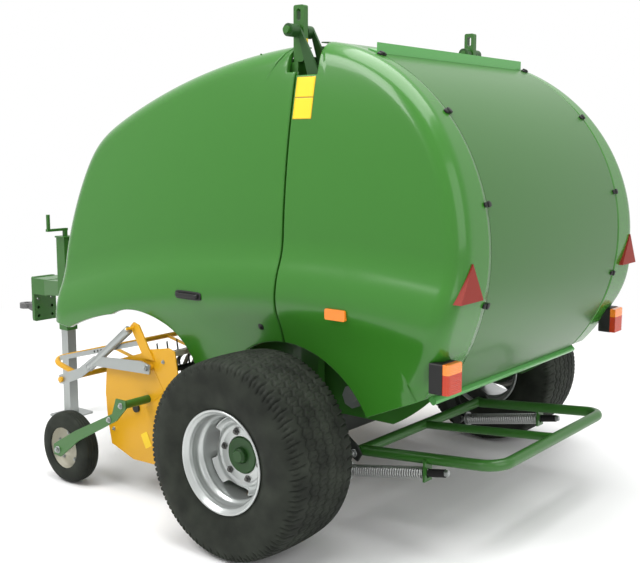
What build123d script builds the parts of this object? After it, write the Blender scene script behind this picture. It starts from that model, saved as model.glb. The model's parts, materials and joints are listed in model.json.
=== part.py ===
from build123d import *
import os
from math import atan2, cos, degrees, hypot, radians, sin, sqrt, tan

os.makedirs("parts", exist_ok=True)

# Round baler with a fixed bale chamber, a pick-up in front and a tailgate behind
# +X is the machine's left, +Y its rear, +Z up; the ground is Z = 0, sizes in mm
# Heights are above the ground, and lengths (y) are behind the axle line

# Overall reach, from the axle line
hitch_reach = 3150
ramp_reach = 920
eye_ring_radius = 50
axle_y = (hitch_reach + eye_ring_radius - ramp_reach) / 2

# Main wheels, 400/60-15.5
wheel_radius = 432
tyre_width = 394
tyre_bead_radius = 204
rim_lip_radius = 223
half_track = 1096
stub_radius = 30
running_gap = 0.05
seat_gap = 0.3

# Bale chamber
chamber_z = 1290
bale_radius = 605
roller_radius = 100
roller_ring = bale_radius + roller_radius
chamber_half = 598
plate_thick = 8
plate_in = chamber_half + 6
plate_out = plate_in + plate_thick
roller_shaft_radius = 25
bearing_radius = 55
bearing_thick = 20

# Covers and shells, glass-reinforced plastic
shell_radius = 890
shell_wall = 5
crease_radius = 6000
crease_top_z = 1335
crease_y = 120
corner_radius = 80
split_gap = 10
cover_inner_x = 595
seam_x = 643
arch_radius = 442
hood_half = 588
hood_drop = 38

# Tailgate hinge, above the split line
hinge_y = -20
hinge_z = 2220
hinge_pin_radius = 16
bracket_x = 725
bracket_thick = 30
bracket_top_z = 2330

# Frame
beam_height = 90
beam_width = 80
frame_z = 925
axle_size = 100

# Pick-up
reel_y = -900
reel_z = 440
band_radius = 240
tine_radius = 300
pickup_half = 935
pivot_y = -600
pivot_z = 760


def side_plane(x):
    """Plane across the machine: sketch x is y, sketch y is z, it faces +X."""
    return Plane(origin=(x, axle_y, 0), x_dir=(0, 1, 0), z_dir=(1, 0, 0))


def cross_plane(y):
    """Upright plane y behind the axle: sketch x is X, sketch y is z, it faces the front."""
    return Plane(origin=(0, axle_y + y, 0), x_dir=(1, 0, 0), z_dir=(0, -1, 0))


def level_plane(z):
    """Level plane at a height: sketch x is X, sketch y is y behind the axle."""
    return Plane(origin=(0, axle_y, z))


def x_axis(y, z):
    """Line across the machine through y, z."""
    return Axis((0, axle_y + y, z), (1, 0, 0))


def turned(points, angle, y, z):
    """Points given out from and across a centre, turned about it."""
    a = radians(angle)
    return [(y + r * cos(a) - t * sin(a), z + r * sin(a) + t * cos(a)) for r, t in points]


def save(piece, name):
    piece.part.label = name
    export_step(piece.part, f"parts/{name}.step")


def polar(radius, angle, y=0, z=0):
    """Point y, z at an angle up from the rear, about a centre."""
    return (y + radius * cos(radians(angle)), z + radius * sin(radians(angle)))


sides = (("left", 1), ("right", -1))


# Main wheels: tyre, deep-dished rim and green hub, each turned about the axle
tyre_gap = seat_gap
half_width = tyre_width / 2
bead_x = 168
shoulder_x = 182
shoulder_radius = 418
barrel_radius_in = 177
disc_in_x = 26
disc_out_x = 36
disc_bore = 81
hub_flange_radius = 120
hub_nose_radius = 80
hub_radius = 52
hub_nose = 50
hub_back = -104
cap_radius = 33
cap_out_x = 76
stub_reach = 32
hand_holes = 4
hand_hole_ring = 153
hand_hole_long = 112
hand_hole_wide = 38
hand_hole_start = -12

for side, sign in sides:
    wheel_x = sign * half_track
    spin = x_axis(0, wheel_radius)
    with BuildPart() as tyre:
        with BuildSketch(level_plane(wheel_radius)):
            with BuildLine():
                Polyline(
                    (-bead_x, tyre_bead_radius),
                    (bead_x, tyre_bead_radius),
                    (bead_x + 10, tyre_bead_radius + 36),
                    (half_width, 318),
                    (half_width - 4, 376),
                    (shoulder_x, shoulder_radius - 4),
                    (shoulder_x - 34, wheel_radius - 5),
                    (50, wheel_radius),
                    (-50, wheel_radius),
                    (34 - shoulder_x, wheel_radius - 5),
                    (-shoulder_x, shoulder_radius - 4),
                    (4 - half_width, 376),
                    (-half_width, 318),
                    (-bead_x - 10, tyre_bead_radius + 36),
                    close=True,
                )
            make_face()
        revolve(axis=spin)
    tyre.part.locate(Location((wheel_x, 0, 0)))
    save(tyre, f"tyre_{side}")

    with BuildPart() as rim:
        with BuildSketch(level_plane(wheel_radius)):
            with BuildLine():
                Polyline(
                    (bead_x + 14, rim_lip_radius),
                    (bead_x + 10, rim_lip_radius),
                    (bead_x + 1, tyre_bead_radius - tyre_gap),
                    (118, tyre_bead_radius - tyre_gap - 3),
                    (100, 184),
                    (-100, 184),
                    (-118, tyre_bead_radius - tyre_gap - 3),
                    (-1 - bead_x, tyre_bead_radius - tyre_gap),
                    (-bead_x - 10, rim_lip_radius),
                    (-bead_x - 14, rim_lip_radius),
                    (-bead_x - 4, tyre_bead_radius - 8),
                    (-124, tyre_bead_radius - 10),
                    (-104, barrel_radius_in),
                    (disc_in_x, barrel_radius_in),
                    (disc_in_x, disc_bore),
                    (disc_out_x, disc_bore),
                    (disc_out_x, barrel_radius_in),
                    (96, barrel_radius_in),
                    (112, tyre_bead_radius - 10),
                    (bead_x + 2, tyre_bead_radius - 8),
                    close=True,
                )
            make_face()
        revolve(axis=spin)
        hole_plane = Plane(
            origin=(0, axle_y, wheel_radius), x_dir=(0, 1, 0), z_dir=(1, 0, 0)
        )
        with BuildSketch(hole_plane):
            with PolarLocations(hand_hole_ring, hand_holes, start_angle=hand_hole_start):
                SlotOverall(hand_hole_long, hand_hole_wide, rotation=90)
        extrude(amount=disc_out_x + 1, mode=Mode.SUBTRACT)
    if sign < 0:
        rim.part = rim.part.mirror(Plane.YZ)
    rim.part.locate(Location((wheel_x, 0, 0)))
    save(rim, f"rim_{side}")

    with BuildPart() as hub:
        with BuildSketch(level_plane(wheel_radius)):
            with BuildLine():
                Polyline(
                    (hub_back, stub_radius + running_gap),
                    (hub_back, hub_radius),
                    (disc_in_x - 16, hub_radius),
                    (disc_in_x - 16, hub_flange_radius),
                    (disc_in_x - tyre_gap, hub_flange_radius),
                    (disc_in_x - tyre_gap, hub_nose_radius),
                    (hub_nose - 5, hub_nose_radius),
                    (hub_nose, hub_nose_radius - 5),
                    (hub_nose, cap_radius + 3),
                    (cap_out_x - 10, cap_radius),
                    (cap_out_x, cap_radius - 9),
                    (cap_out_x, 0),
                    (stub_reach + 2, 0),
                    (stub_reach + 2, stub_radius + running_gap),
                    close=True,
                )
            make_face()
        revolve(axis=spin)
    if sign < 0:
        hub.part = hub.part.mirror(Plane.YZ)
    hub.part.locate(Location((wheel_x, 0, 0)))
    save(hub, f"hub_{side}")

# Axle beam: square tube under the chamber, with a stub axle pressed into each end
beam_end = 790
axle_wall = 8
with BuildPart() as axle_beam:
    with BuildSketch(side_plane(-beam_end)):
        with Locations((0, wheel_radius)):
            RectangleRounded(axle_size, axle_size, 12)
            RectangleRounded(
                axle_size - 2 * axle_wall, axle_size - 2 * axle_wall, 5, mode=Mode.SUBTRACT
            )
    extrude(amount=2 * beam_end)
save(axle_beam, "axle_beam")

stub_end = half_track + stub_reach
knuckle_end = half_track + hub_back - 3
with BuildPart() as stub_axles:
    with BuildSketch(side_plane(beam_end)):
        with Locations((0, wheel_radius)):
            RectangleRounded(axle_size + 20, axle_size + 20, 12)
    extrude(amount=12)
    with BuildSketch(side_plane(beam_end + 12)):
        with Locations((0, wheel_radius)):
            Circle(44)
    extrude(amount=knuckle_end - beam_end - 12, taper=3)
    with BuildSketch(side_plane(knuckle_end)):
        with Locations((0, wheel_radius)):
            Circle(stub_radius)
    extrude(amount=stub_end - knuckle_end)
    mirror(about=Plane.YZ)
save(stub_axles, "stub_axles")

# Main frame: side beams along the chamber, uprights to the axle and a front cross beam
frame_front = -1500
frame_rear = 60
cross_y = -840
cross_size = 90
upright_x = 640
upright_width = 46
with BuildPart() as main_frame:
    with BuildSketch(cross_plane(frame_rear)):
        with Locations((plate_out + seat_gap + beam_width / 2, frame_z)):
            RectangleRounded(beam_width, beam_height, 8)
    extrude(amount=frame_rear - frame_front)
    upright_low = wheel_radius + axle_size / 2
    upright_high = frame_z - beam_height / 2 + 2
    with BuildSketch(level_plane(upright_low)):
        with Locations((upright_x + upright_width / 2, 0)):
            Rectangle(upright_width, axle_size)
    extrude(amount=upright_high - upright_low)
    mirror(about=Plane.YZ)
    with BuildSketch(side_plane(-plate_out - seat_gap)):
        with Locations((cross_y, frame_z)):
            Rectangle(cross_size, beam_height)
    extrude(amount=2 * (plate_out + seat_gap))
save(main_frame, "main_frame")

# Hood between the covers: a rolled sheet that follows their outline, set lower
hood_thick = 4
hood_rear_y = -90
hood_low_z = 932


def hood_line(drop):
    top = (hood_rear_y, 2166 - drop)
    apex = (-1352 + 0.9 * drop, 1766 - 0.9 * drop)
    with BuildLine() as edge:
        roof = ThreePointArc(top, (-620, 2072 - drop), apex)
        ThreePointArc(roof @ 1, (-1533 + drop, 1300), (-1597 + drop, hood_low_z))
    return edge.line


with BuildPart() as hood:
    with BuildSketch(side_plane(-hood_half)):
        with BuildLine():
            outer = add(hood_line(hood_drop))
            inner = add(hood_line(hood_drop + hood_thick))
            Line((hood_rear_y, 2166 - hood_drop), (hood_rear_y, 2166 - hood_drop - hood_thick))
            Line(
                (-1597 + hood_drop, hood_low_z), (-1597 + hood_drop + hood_thick, hood_low_z)
            )
        make_face()
    extrude(amount=2 * hood_half)
save(hood, "hood")

# Front side plates of the chamber, holed for the roller shafts
front_plate_radius = 775
plate_split = 8
plate_low_z = 520
front_rollers_at = (106.5, 127.5, 148.5, 169.5, 190.5, 228, 253)
tailgate_rollers_at = (-73.5, -52.5, -31.5, -10.5, 10.5, 31.5, 52.5, 73.5)
top_beam_y = -45
top_beam_z = 2060
top_beam_size = 60
barrel_pin_y = -450
barrel_pin_z = 1100
cylinder_x = 700
cylinder_pin_radius = 15

hood_seat = hood_drop + hood_thick + 0.2
flange_width = 44
nose_rear_y = -340
with BuildPart() as side_plates:
    with BuildSketch(side_plane(plate_in)):
        with BuildLine():
            seat = add(hood_line(hood_seat))
            Polyline(
                (hood_rear_y, 2166 - hood_seat),
                (hood_rear_y, 1700),
                (-700, hood_low_z),
                (-1597 + hood_seat, hood_low_z),
            )
        make_face()
        with Locations((nose_rear_y / 2, chamber_z)):
            Rectangle(-nose_rear_y, 2000, mode=Mode.SUBTRACT)
        with Locations((0, chamber_z)):
            Circle(front_plate_radius)
        with Locations((front_plate_radius - plate_split, chamber_z)):
            Rectangle(2 * front_plate_radius, 2 * front_plate_radius, mode=Mode.SUBTRACT)
        with Locations((0, plate_low_z / 2)):
            Rectangle(2 * front_plate_radius, plate_low_z, mode=Mode.SUBTRACT)
        with Locations((top_beam_y, top_beam_z)):
            Rectangle(top_beam_size, top_beam_size, mode=Mode.SUBTRACT)
        with Locations((cross_y, frame_z)):
            Rectangle(cross_size, beam_height, mode=Mode.SUBTRACT)
        for angle in front_rollers_at:
            with Locations(polar(roller_ring, angle, 0, chamber_z)):
                Circle(roller_shaft_radius + 1, mode=Mode.SUBTRACT)
    extrude(amount=plate_thick)
    with BuildSketch(side_plane(plate_in - flange_width)):
        with BuildLine():
            add(hood_line(hood_seat))
            add(hood_line(hood_seat + 8))
            Line((hood_rear_y, 2166 - hood_seat), (hood_rear_y, 2166 - hood_seat - 8))
            Line((-1597 + hood_seat, hood_low_z), (-1597 + hood_seat + 8, hood_low_z))
        make_face()
        with Locations((nose_rear_y / 2, chamber_z)):
            Rectangle(-nose_rear_y, 2000, mode=Mode.SUBTRACT)
    extrude(amount=flange_width)
    with BuildSketch(side_plane(plate_out)):
        with Locations((barrel_pin_y, barrel_pin_z)):
            Circle(34)
    extrude(amount=cylinder_x - 34 - plate_out)
    with BuildSketch(side_plane(plate_out)):
        with Locations((barrel_pin_y, barrel_pin_z)):
            Circle(cylinder_pin_radius)
    extrude(amount=cylinder_x + 34 - plate_out)
    with BuildSketch(side_plane(plate_out)):
        with Locations((pivot_y, pivot_z)):
            Circle(34)
    extrude(amount=90)
    with BuildSketch(side_plane(plate_out)):
        with Locations((pivot_y, pivot_z)):
            Circle(20)
    extrude(amount=112)
    mirror(about=Plane.YZ)
save(side_plates, "side_plates")


def ribbed_rollers(angles):
    """Pressed steel rollers with raised ribs, shafts and flanged bearings outside the plates."""
    ribs = 10
    core = roller_radius - 14
    half_rib = 7
    half_foot = 9
    profile = []
    for rib in range(ribs):
        middle = 360 * rib / ribs
        profile += [
            polar(core, middle - half_foot),
            polar(roller_radius, middle - half_rib),
            polar(roller_radius, middle + half_rib),
            polar(core, middle + half_foot),
        ]
    with BuildPart() as rollers:
        for angle in angles:
            y, z = polar(roller_ring, angle, 0, chamber_z)
            with BuildSketch(side_plane(-chamber_half)):
                with BuildLine():
                    Polyline(*[(y + a, z + b) for a, b in profile], close=True)
                make_face()
            extrude(amount=2 * chamber_half)
            with BuildSketch(side_plane(-plate_out - bearing_thick - 12)):
                with Locations((y, z)):
                    Circle(roller_shaft_radius)
            extrude(amount=2 * (plate_out + bearing_thick + 12))
            for start in (plate_out, -plate_out - bearing_thick):
                with BuildSketch(side_plane(start)):
                    with Locations((y, z)):
                        RegularPolygon(bearing_radius, 8)
                extrude(amount=bearing_thick)
    return rollers


front_rollers = ribbed_rollers(front_rollers_at)
save(front_rollers, "front_rollers")

# Top beam between the brackets that lift the machine and carry the tailgate's hinge
beam_out = bracket_x + bracket_thick / 2 + 5
bracket_low = top_beam_z + top_beam_size / 2
bracket_depth = 57
bracket_y = hinge_y + 4
slot_low = 2262
pin_in = 652
pin_out = 822
with BuildPart() as lift_brackets:
    with BuildSketch(side_plane(-beam_out)):
        with Locations((top_beam_y, top_beam_z)):
            Rectangle(top_beam_size, top_beam_size)
    extrude(amount=2 * beam_out)
    for sign in (1, -1):
        with BuildSketch(side_plane(sign * bracket_x - bracket_thick / 2)):
            with Locations((bracket_y, (bracket_low + bracket_top_z) / 2)):
                RectangleRounded(bracket_depth, bracket_top_z - bracket_low, 10)
            with Locations((bracket_y, slot_low + 26)):
                SlotOverall(52, 24, rotation=90, mode=Mode.SUBTRACT)
        extrude(amount=bracket_thick)
        with BuildSketch(side_plane(sign * (pin_in + pin_out) / 2 - (pin_out - pin_in) / 2)):
            with Locations((hinge_y, hinge_z)):
                Circle(hinge_pin_radius)
        extrude(amount=pin_out - pin_in)
save(lift_brackets, "lift_brackets")

# Drawbar: two box beams running together to a drilled nose plate for the towing eye
drawbar_rear_y = cross_y - cross_size / 2
drawbar_rear_x = 430
drawbar_nose_y = -2800
drawbar_nose_x = 66
drawbar_nose_z = 770
nose_plate_y = -2960
nose_plate_half = 90
nose_low_z = 520
nose_high_z = 830
gearbox_y = -1750
gearbox_seat_z = 925
eye_z = 600
jack_x = 250
jack_y = -2350
jack_tube = 80

with BuildPart() as drawbar:
    for sign in (1, -1):
        with BuildSketch(cross_plane(drawbar_rear_y)):
            with Locations((sign * drawbar_rear_x, frame_z)):
                Rectangle(80, beam_height)
        with BuildSketch(cross_plane(drawbar_nose_y)):
            with Locations((sign * drawbar_nose_x, drawbar_nose_z)):
                Rectangle(70, 100)
        loft()
    with BuildSketch(cross_plane(drawbar_nose_y + 30)):
        with Locations((0, drawbar_nose_z)):
            Rectangle(2 * drawbar_nose_x + 70, 110)
    extrude(amount=drawbar_nose_y + 30 - nose_plate_y - 25)
    with BuildSketch(cross_plane(nose_plate_y + 25)):
        with Locations((0, (nose_low_z + nose_high_z) / 2)):
            RectangleRounded(2 * nose_plate_half, nose_high_z - nose_low_z, 12)
        with Locations((0, (nose_low_z + nose_high_z) / 2)):
            with GridLocations(110, 60, 2, 5):
                Circle(11, mode=Mode.SUBTRACT)
    extrude(amount=25)
    with BuildSketch(level_plane(gearbox_seat_z - 130)):
        with Locations((0, gearbox_y)):
            Rectangle(560, 120)
    extrude(amount=130)
    with BuildSketch(level_plane(drawbar_nose_z - 40)):
        with Locations(((jack_x - jack_tube / 2 + 100) / 2, jack_y)):
            Rectangle(jack_x - jack_tube / 2 - 100, 70)
    extrude(amount=90)
save(drawbar, "drawbar")

# Towing eye, forged, bolted to the nose plate
eye_bore_radius = 20.5
eye_thick = 36
with BuildPart() as tow_eye:
    with BuildSketch(cross_plane(nose_plate_y)):
        with Locations((0, eye_z)):
            Rectangle(150, 130)
    extrude(amount=24)
    with BuildSketch(cross_plane(nose_plate_y - 24)):
        with Locations((0, eye_z)):
            Rectangle(84, 74)
    with BuildSketch(cross_plane(-hitch_reach + eye_ring_radius - 8)):
        with Locations((0, eye_z)):
            Rectangle(44, eye_thick)
    loft()
    with BuildSketch(level_plane(eye_z - eye_thick / 2)):
        with Locations((0, -hitch_reach)):
            Circle(eye_ring_radius)
    extrude(amount=eye_thick)
    with BuildSketch(level_plane(eye_z - eye_thick / 2)):
        with Locations((0, -hitch_reach)):
            Circle(eye_bore_radius)
    extrude(amount=eye_thick, mode=Mode.SUBTRACT)
save(tow_eye, "tow_eye")

# Gearbox with its splined input shaft, on the drawbar's cross member
gear_half = 105
gear_height = 190
input_radius = 17.46
input_length = 78
input_z = gearbox_seat_z + 100
with BuildPart() as gearbox:
    with BuildSketch(level_plane(gearbox_seat_z)):
        with Locations((0, gearbox_y)):
            RectangleRounded(2 * gear_half + 40, 130, 12)
    extrude(amount=16)
    with BuildSketch(level_plane(gearbox_seat_z + 16)):
        with Locations((0, gearbox_y)):
            RectangleRounded(2 * gear_half, 190, 26)
    extrude(amount=gear_height - 16)
    with BuildSketch(cross_plane(gearbox_y - 95)):
        with Locations((0, input_z)):
            Circle(58)
    extrude(amount=26, taper=8)
    with BuildSketch(cross_plane(gearbox_y - 121)):
        with Locations((0, input_z)):
            Circle(input_radius)
    extrude(amount=input_length)
    with BuildSketch(cross_plane(gearbox_y + 95 + 40)):
        with Locations((0, input_z)):
            Circle(46)
    extrude(amount=40)
save(gearbox, "gearbox")

# Parking jack: square housing on the drawbar and a sliding leg with its foot plate
jack_low_z = 560
jack_high_z = 1150
leg_size = 64
leg_top_z = 700
foot_thick = 8
with BuildPart() as jack_housing:
    with BuildSketch(level_plane(jack_low_z)):
        with Locations((jack_x, jack_y)):
            Rectangle(jack_tube, jack_tube)
            Rectangle(leg_size + 2 * seat_gap, leg_size + 2 * seat_gap, mode=Mode.SUBTRACT)
    extrude(amount=jack_high_z - jack_low_z)
    with BuildSketch(level_plane(jack_high_z)):
        with Locations((jack_x, jack_y)):
            Rectangle(jack_tube + 12, jack_tube + 12)
    extrude(amount=10)
    with BuildSketch(level_plane(jack_high_z + 10)):
        with Locations((jack_x, jack_y)):
            Circle(16)
    extrude(amount=34)
    with BuildSketch(side_plane(jack_x - 14)):
        with Locations((jack_y, jack_high_z + 52)):
            Rectangle(24, 16)
    extrude(amount=150)
    with BuildSketch(level_plane(jack_high_z + 60)):
        with Locations((jack_x + 124, jack_y)):
            Circle(12)
    extrude(amount=90)
save(jack_housing, "jack_housing")

with BuildPart() as jack_leg:
    with BuildSketch(level_plane(0)):
        with Locations((jack_x, jack_y)):
            RectangleRounded(220, 180, 20)
    extrude(amount=foot_thick)
    with BuildSketch(level_plane(foot_thick)):
        with Locations((jack_x, jack_y)):
            Rectangle(leg_size, leg_size)
    extrude(amount=leg_top_z - foot_thick)
save(jack_leg, "jack_leg")


# Outline of the front covers in side view; inset moves the skin in, beyond opens the edges
def front_outline(inset, beyond):
    top_z = 2168
    apex = (-1352, 1766)
    with BuildLine() as edge:
        top = ThreePointArc(
            (beyond - split_gap / 2, top_z - inset),
            (-620, 2072 - inset),
            (apex[0] + 0.9 * inset, apex[1] - 0.9 * inset),
        )
        nose = ThreePointArc(
            top @ 1, (-1533 + inset, 1300), (-1600 + inset, 800 - beyond)
        )
        tip = Line(nose @ 1, (-1459, 775 - beyond))
        rise = ThreePointArc(tip @ 1, (-1289, 840 - beyond), (-1105, 885 - beyond))
        crown = ThreePointArc(rise @ 1, (-930, 925 - beyond), (-760, 880 - beyond))
        fall = ThreePointArc(crown @ 1, (-655, 800 - beyond), (-590, 690 - beyond))
        lobe = Line(fall @ 1, (-560, 612 - beyond))
        foot = Line(lobe @ 1, (-410, 598 - beyond))
        arch = ThreePointArc(
            foot @ 1,
            polar(arch_radius - beyond, 135, 0, wheel_radius),
            (beyond - split_gap / 2, wheel_radius + arch_radius - beyond),
        )
        Line(arch @ 1, top @ 0)
    return edge.line, top @ 1


# Outline of the rear shells in side view, an arc about the chamber
def rear_outline(inset, beyond):
    radius = shell_radius - inset
    with BuildLine() as edge:
        start = (split_gap / 2 - beyond, chamber_z + radius)
        back = ThreePointArc(
            start, polar(radius, 20, 0, chamber_z), polar(radius, -60, 0, chamber_z)
        )
        foot = Line(back @ 1, (split_gap / 2 - beyond, (back @ 1).Y))
        Line(foot @ 1, back @ 0)
    return edge.line


def flank(inset, inner_x):
    """Half the body's width: the flank's section carried along an arc of large radius."""
    front_lean = 18
    rear_lean = 9
    centre_z = crease_top_z - crease_radius
    lean = radians(front_lean)
    start = Plane(
        origin=(0, axle_y + crease_y, centre_z),
        x_dir=(1, 0, 0),
        z_dir=(0, -cos(lean), -sin(lean)),
    )

    def at(x, z):
        return (x - inset, z - centre_z)

    with BuildPart() as form:
        with BuildSketch(start):
            with BuildLine():
                floor = Line((inner_x, 450 - centre_z), at(790, 450))
                low = Line(floor @ 1, at(860, 840))
                tuck = TangentArc(low @ 1, at(908, 985), tangent=low % 1)
                swell = TangentArc(tuck @ 1, at(929, 1110), tangent=tuck % 1)
                bulge = TangentArc(swell @ 1, at(896, 1230), tangent=swell % 1)
                crease = ThreePointArc(bulge @ 1, at(879, 1290), at(872, 1360))
                upper = ThreePointArc(crease @ 1, at(838, 1720), at(707, 2330))
                lid = Line(upper @ 1, (inner_x, 2330 - centre_z))
                Line(lid @ 1, floor @ 0)
            make_face()
        axis = Axis((0, axle_y + crease_y, centre_z), (-1, 0, 0))
        revolve(axis=axis, revolution_arc=front_lean + rear_lean)
    return form.part


def rounded_rim(form, radius):
    """Rolls the corner between the flank and the outer faces of a form."""
    rims = []
    for face in form.faces():
        across = face.normal_at(face.center())
        middle = face.center()
        outer = hypot(middle.Y - axle_y, middle.Z - chamber_z) > 600
        upward = across.Z > -0.85 and middle.Z > 830
        split = abs(abs(across.Y) - 1) < 0.001 and abs(middle.Y - axle_y) < split_gap
        if abs(across.X) < 0.05 and outer and upward and not split:
            if (middle.Y - axle_y) * across.Y >= 0:
                for edge in face.edges():
                    if edge.bounding_box().size.X < 0.9 * edge.length:
                        if edge.center().X > 700:
                            if abs(edge.center().Y - axle_y) > split_gap:
                                rims.append(edge)
    return form.fillet(radius, rims)


def front_form(inset, beyond, inner_x):
    edge, apex = front_outline(inset, beyond)
    blend = 250
    with BuildPart() as form:
        add(flank(inset, inner_x))
        with BuildSketch(side_plane(inner_x)) as outline:
            with BuildLine():
                add(edge)
            make_face()
            corners = [
                corner
                for corner in outline.vertices()
                if abs(corner.Y - axle_y - apex.X) < 1 and abs(corner.Z - apex.Y) < 1
            ]
            fillet(corners, radius=blend - inset)
        extrude(amount=1100 - inner_x, mode=Mode.INTERSECT)
    return rounded_rim(form.part, corner_radius - inset)


def rear_form(inset, beyond, inner_x):
    with BuildPart() as form:
        add(flank(inset, inner_x))
        with BuildSketch(side_plane(inner_x)):
            with BuildLine():
                add(rear_outline(inset, beyond))
            make_face()
        extrude(amount=1100 - inner_x, mode=Mode.INTERSECT)
    return rounded_rim(form.part, corner_radius - inset)


# Hinge rods of the side covers, on lugs above the chamber plates
rod_x = 600
rod_z = 2095
rod_radius = 8
lug_ys = (-140, -300)
with BuildPart() as cover_hinges:
    for y, foot_z in zip(lug_ys, (2080, 2030)):
        with BuildSketch(cross_plane(y)):
            with BuildLine():
                Polyline(
                    (plate_in, foot_z - 40),
                    (plate_in, foot_z - 40 + 1),
                    (rod_x - 12, rod_z - 8),
                    (rod_x - 12, rod_z + 10),
                    (rod_x + 12, rod_z + 10),
                    (plate_out + 8, foot_z - 40),
                    close=True,
                )
            make_face()
        extrude(amount=8)
    with BuildSketch(cross_plane(lug_ys[0] + 6)):
        with Locations((rod_x, rod_z)):
            Circle(rod_radius)
    extrude(amount=lug_ys[0] - lug_ys[1] + 20)
    add(side_plates.part, mode=Mode.SUBTRACT)
    mirror(about=Plane.YZ)
save(cover_hinges, "cover_hinges")

# Side covers, gull-wing, hinged on the rods
arm_ys = (-180, -262)
arm_thick = 8
notch_y = -100
notch_z = 2020
cover_skin = front_form(0, 0, cover_inner_x)
cover_room = front_form(shell_wall, 60, cover_inner_x - 60)
arm_seat = front_form(shell_wall / 2, 0, rod_x - 30)

with BuildPart() as cover_arms:
    for y in arm_ys:
        with BuildSketch(cross_plane(y + arm_thick / 2)):
            with BuildLine():
                Polyline(
                    (rod_x, rod_z - 14),
                    (rod_x + 110, rod_z - 30),
                    (rod_x + 110, rod_z + 60),
                    (rod_x + 60, rod_z + 60),
                    (rod_x + 16, rod_z + 4),
                    (rod_x, rod_z + 14),
                    close=True,
                )
            make_face()
            with Locations((rod_x, rod_z)):
                Circle(14)
                Circle(rod_radius + running_gap, mode=Mode.SUBTRACT)
        extrude(amount=arm_thick)
    add(arm_seat, mode=Mode.INTERSECT)

for side, sign in sides:
    with BuildPart() as cover:
        add(cover_skin)
        add(cover_room, mode=Mode.SUBTRACT)
        with BuildSketch(cross_plane(0)):
            with Locations((cover_inner_x + 150, notch_z + 150)):
                Rectangle(300, 300)
        extrude(amount=-notch_y, mode=Mode.SUBTRACT)
        add(cover_arms.part)
    if sign < 0:
        cover.part = cover.part.mirror(Plane.YZ)
    save(cover, f"side_cover_{side}")

# Tailgate side plates with the rolled rim that the sheet and the shells are fixed to
rim_inner = shell_radius - shell_wall - 12
sheet_thick = 5
sheet_low = -42
sheet_high = 88
ring_low = sheet_low - 0.24
with BuildPart() as tailgate_plates:
    with BuildSketch(side_plane(plate_in)):
        with Locations((0, chamber_z)):
            Circle(rim_inner)
        with Locations((-rim_inner + plate_split, chamber_z)):
            Rectangle(2 * rim_inner, 3 * front_plate_radius, mode=Mode.SUBTRACT)
        with Locations((0, plate_low_z / 2)):
            Rectangle(3 * front_plate_radius, plate_low_z, mode=Mode.SUBTRACT)
        for angle in tailgate_rollers_at:
            with Locations(polar(roller_ring, angle, 0, chamber_z)):
                Circle(roller_shaft_radius + 1, mode=Mode.SUBTRACT)
    extrude(amount=plate_thick)
    with BuildSketch(side_plane(plate_in)):
        with BuildLine():
            outer_arc = ThreePointArc(
                polar(shell_radius - shell_wall - seat_gap, ring_low, 0, chamber_z),
                polar(shell_radius - shell_wall - seat_gap, 20, 0, chamber_z),
                polar(shell_radius - shell_wall - seat_gap, 75, 0, chamber_z),
            )
            inner_arc = ThreePointArc(
                polar(rim_inner - 1, ring_low, 0, chamber_z),
                polar(rim_inner - 1, 20, 0, chamber_z),
                polar(rim_inner - 1, 75, 0, chamber_z),
            )
            Line(outer_arc @ 0, inner_arc @ 0)
            Line(outer_arc @ 1, inner_arc @ 1)
        make_face()
    extrude(amount=seam_x - seat_gap - plate_in)
    mirror(about=Plane.YZ)
save(tailgate_plates, "tailgate_plates")

tailgate_rollers = ribbed_rollers(tailgate_rollers_at)
save(tailgate_rollers, "tailgate_rollers")

# Centre sheet of the tailgate, rolled about the chamber
with BuildPart() as tailgate_sheet:
    with BuildSketch(side_plane(3 - seam_x)):
        with BuildLine():
            skin = ThreePointArc(
                polar(shell_radius, sheet_low, 0, chamber_z),
                polar(shell_radius, 20, 0, chamber_z),
                polar(shell_radius, sheet_high, 0, chamber_z),
            )
            back = ThreePointArc(
                polar(shell_radius - sheet_thick, sheet_low, 0, chamber_z),
                polar(shell_radius - sheet_thick, 20, 0, chamber_z),
                polar(shell_radius - sheet_thick, sheet_high, 0, chamber_z),
            )
            Line(skin @ 0, back @ 0)
            Line(skin @ 1, back @ 1)
        make_face()
    extrude(amount=2 * (seam_x - 3))
save(tailgate_sheet, "tailgate_sheet")

# Edge bars of the tailgate: a rounded lip below and an angle strip on top
lip_y, lip_z = polar(shell_radius + 4, sheet_low - 1.11, 0, chamber_z)
lip_half = 680
strip_y = 318
strip_z = chamber_z + sqrt(shell_radius**2 - strip_y**2)
strip_half = 642
with BuildPart() as tailgate_edges:
    with BuildSketch(side_plane(-strip_half)):
        with BuildLine():
            Polyline(
                (strip_y - 34, strip_z - 9),
                (strip_y + 16, strip_z - 9),
                (strip_y + 16, strip_z + 38),
                (strip_y + 11, strip_z + 38),
                (strip_y + 11, strip_z + 2),
                (strip_y - 34, strip_z + 17),
                close=True,
            )
        make_face()
        with Locations((0, chamber_z)):
            Circle(shell_radius + 0.2, mode=Mode.SUBTRACT)
    extrude(amount=2 * strip_half)
    with BuildSketch(side_plane(-lip_half)):
        with Locations((lip_y, lip_z)):
            RectangleRounded(34, 26, 8, rotation=sheet_low)
    extrude(amount=2 * lip_half)
save(tailgate_edges, "tailgate_edges")

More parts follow.
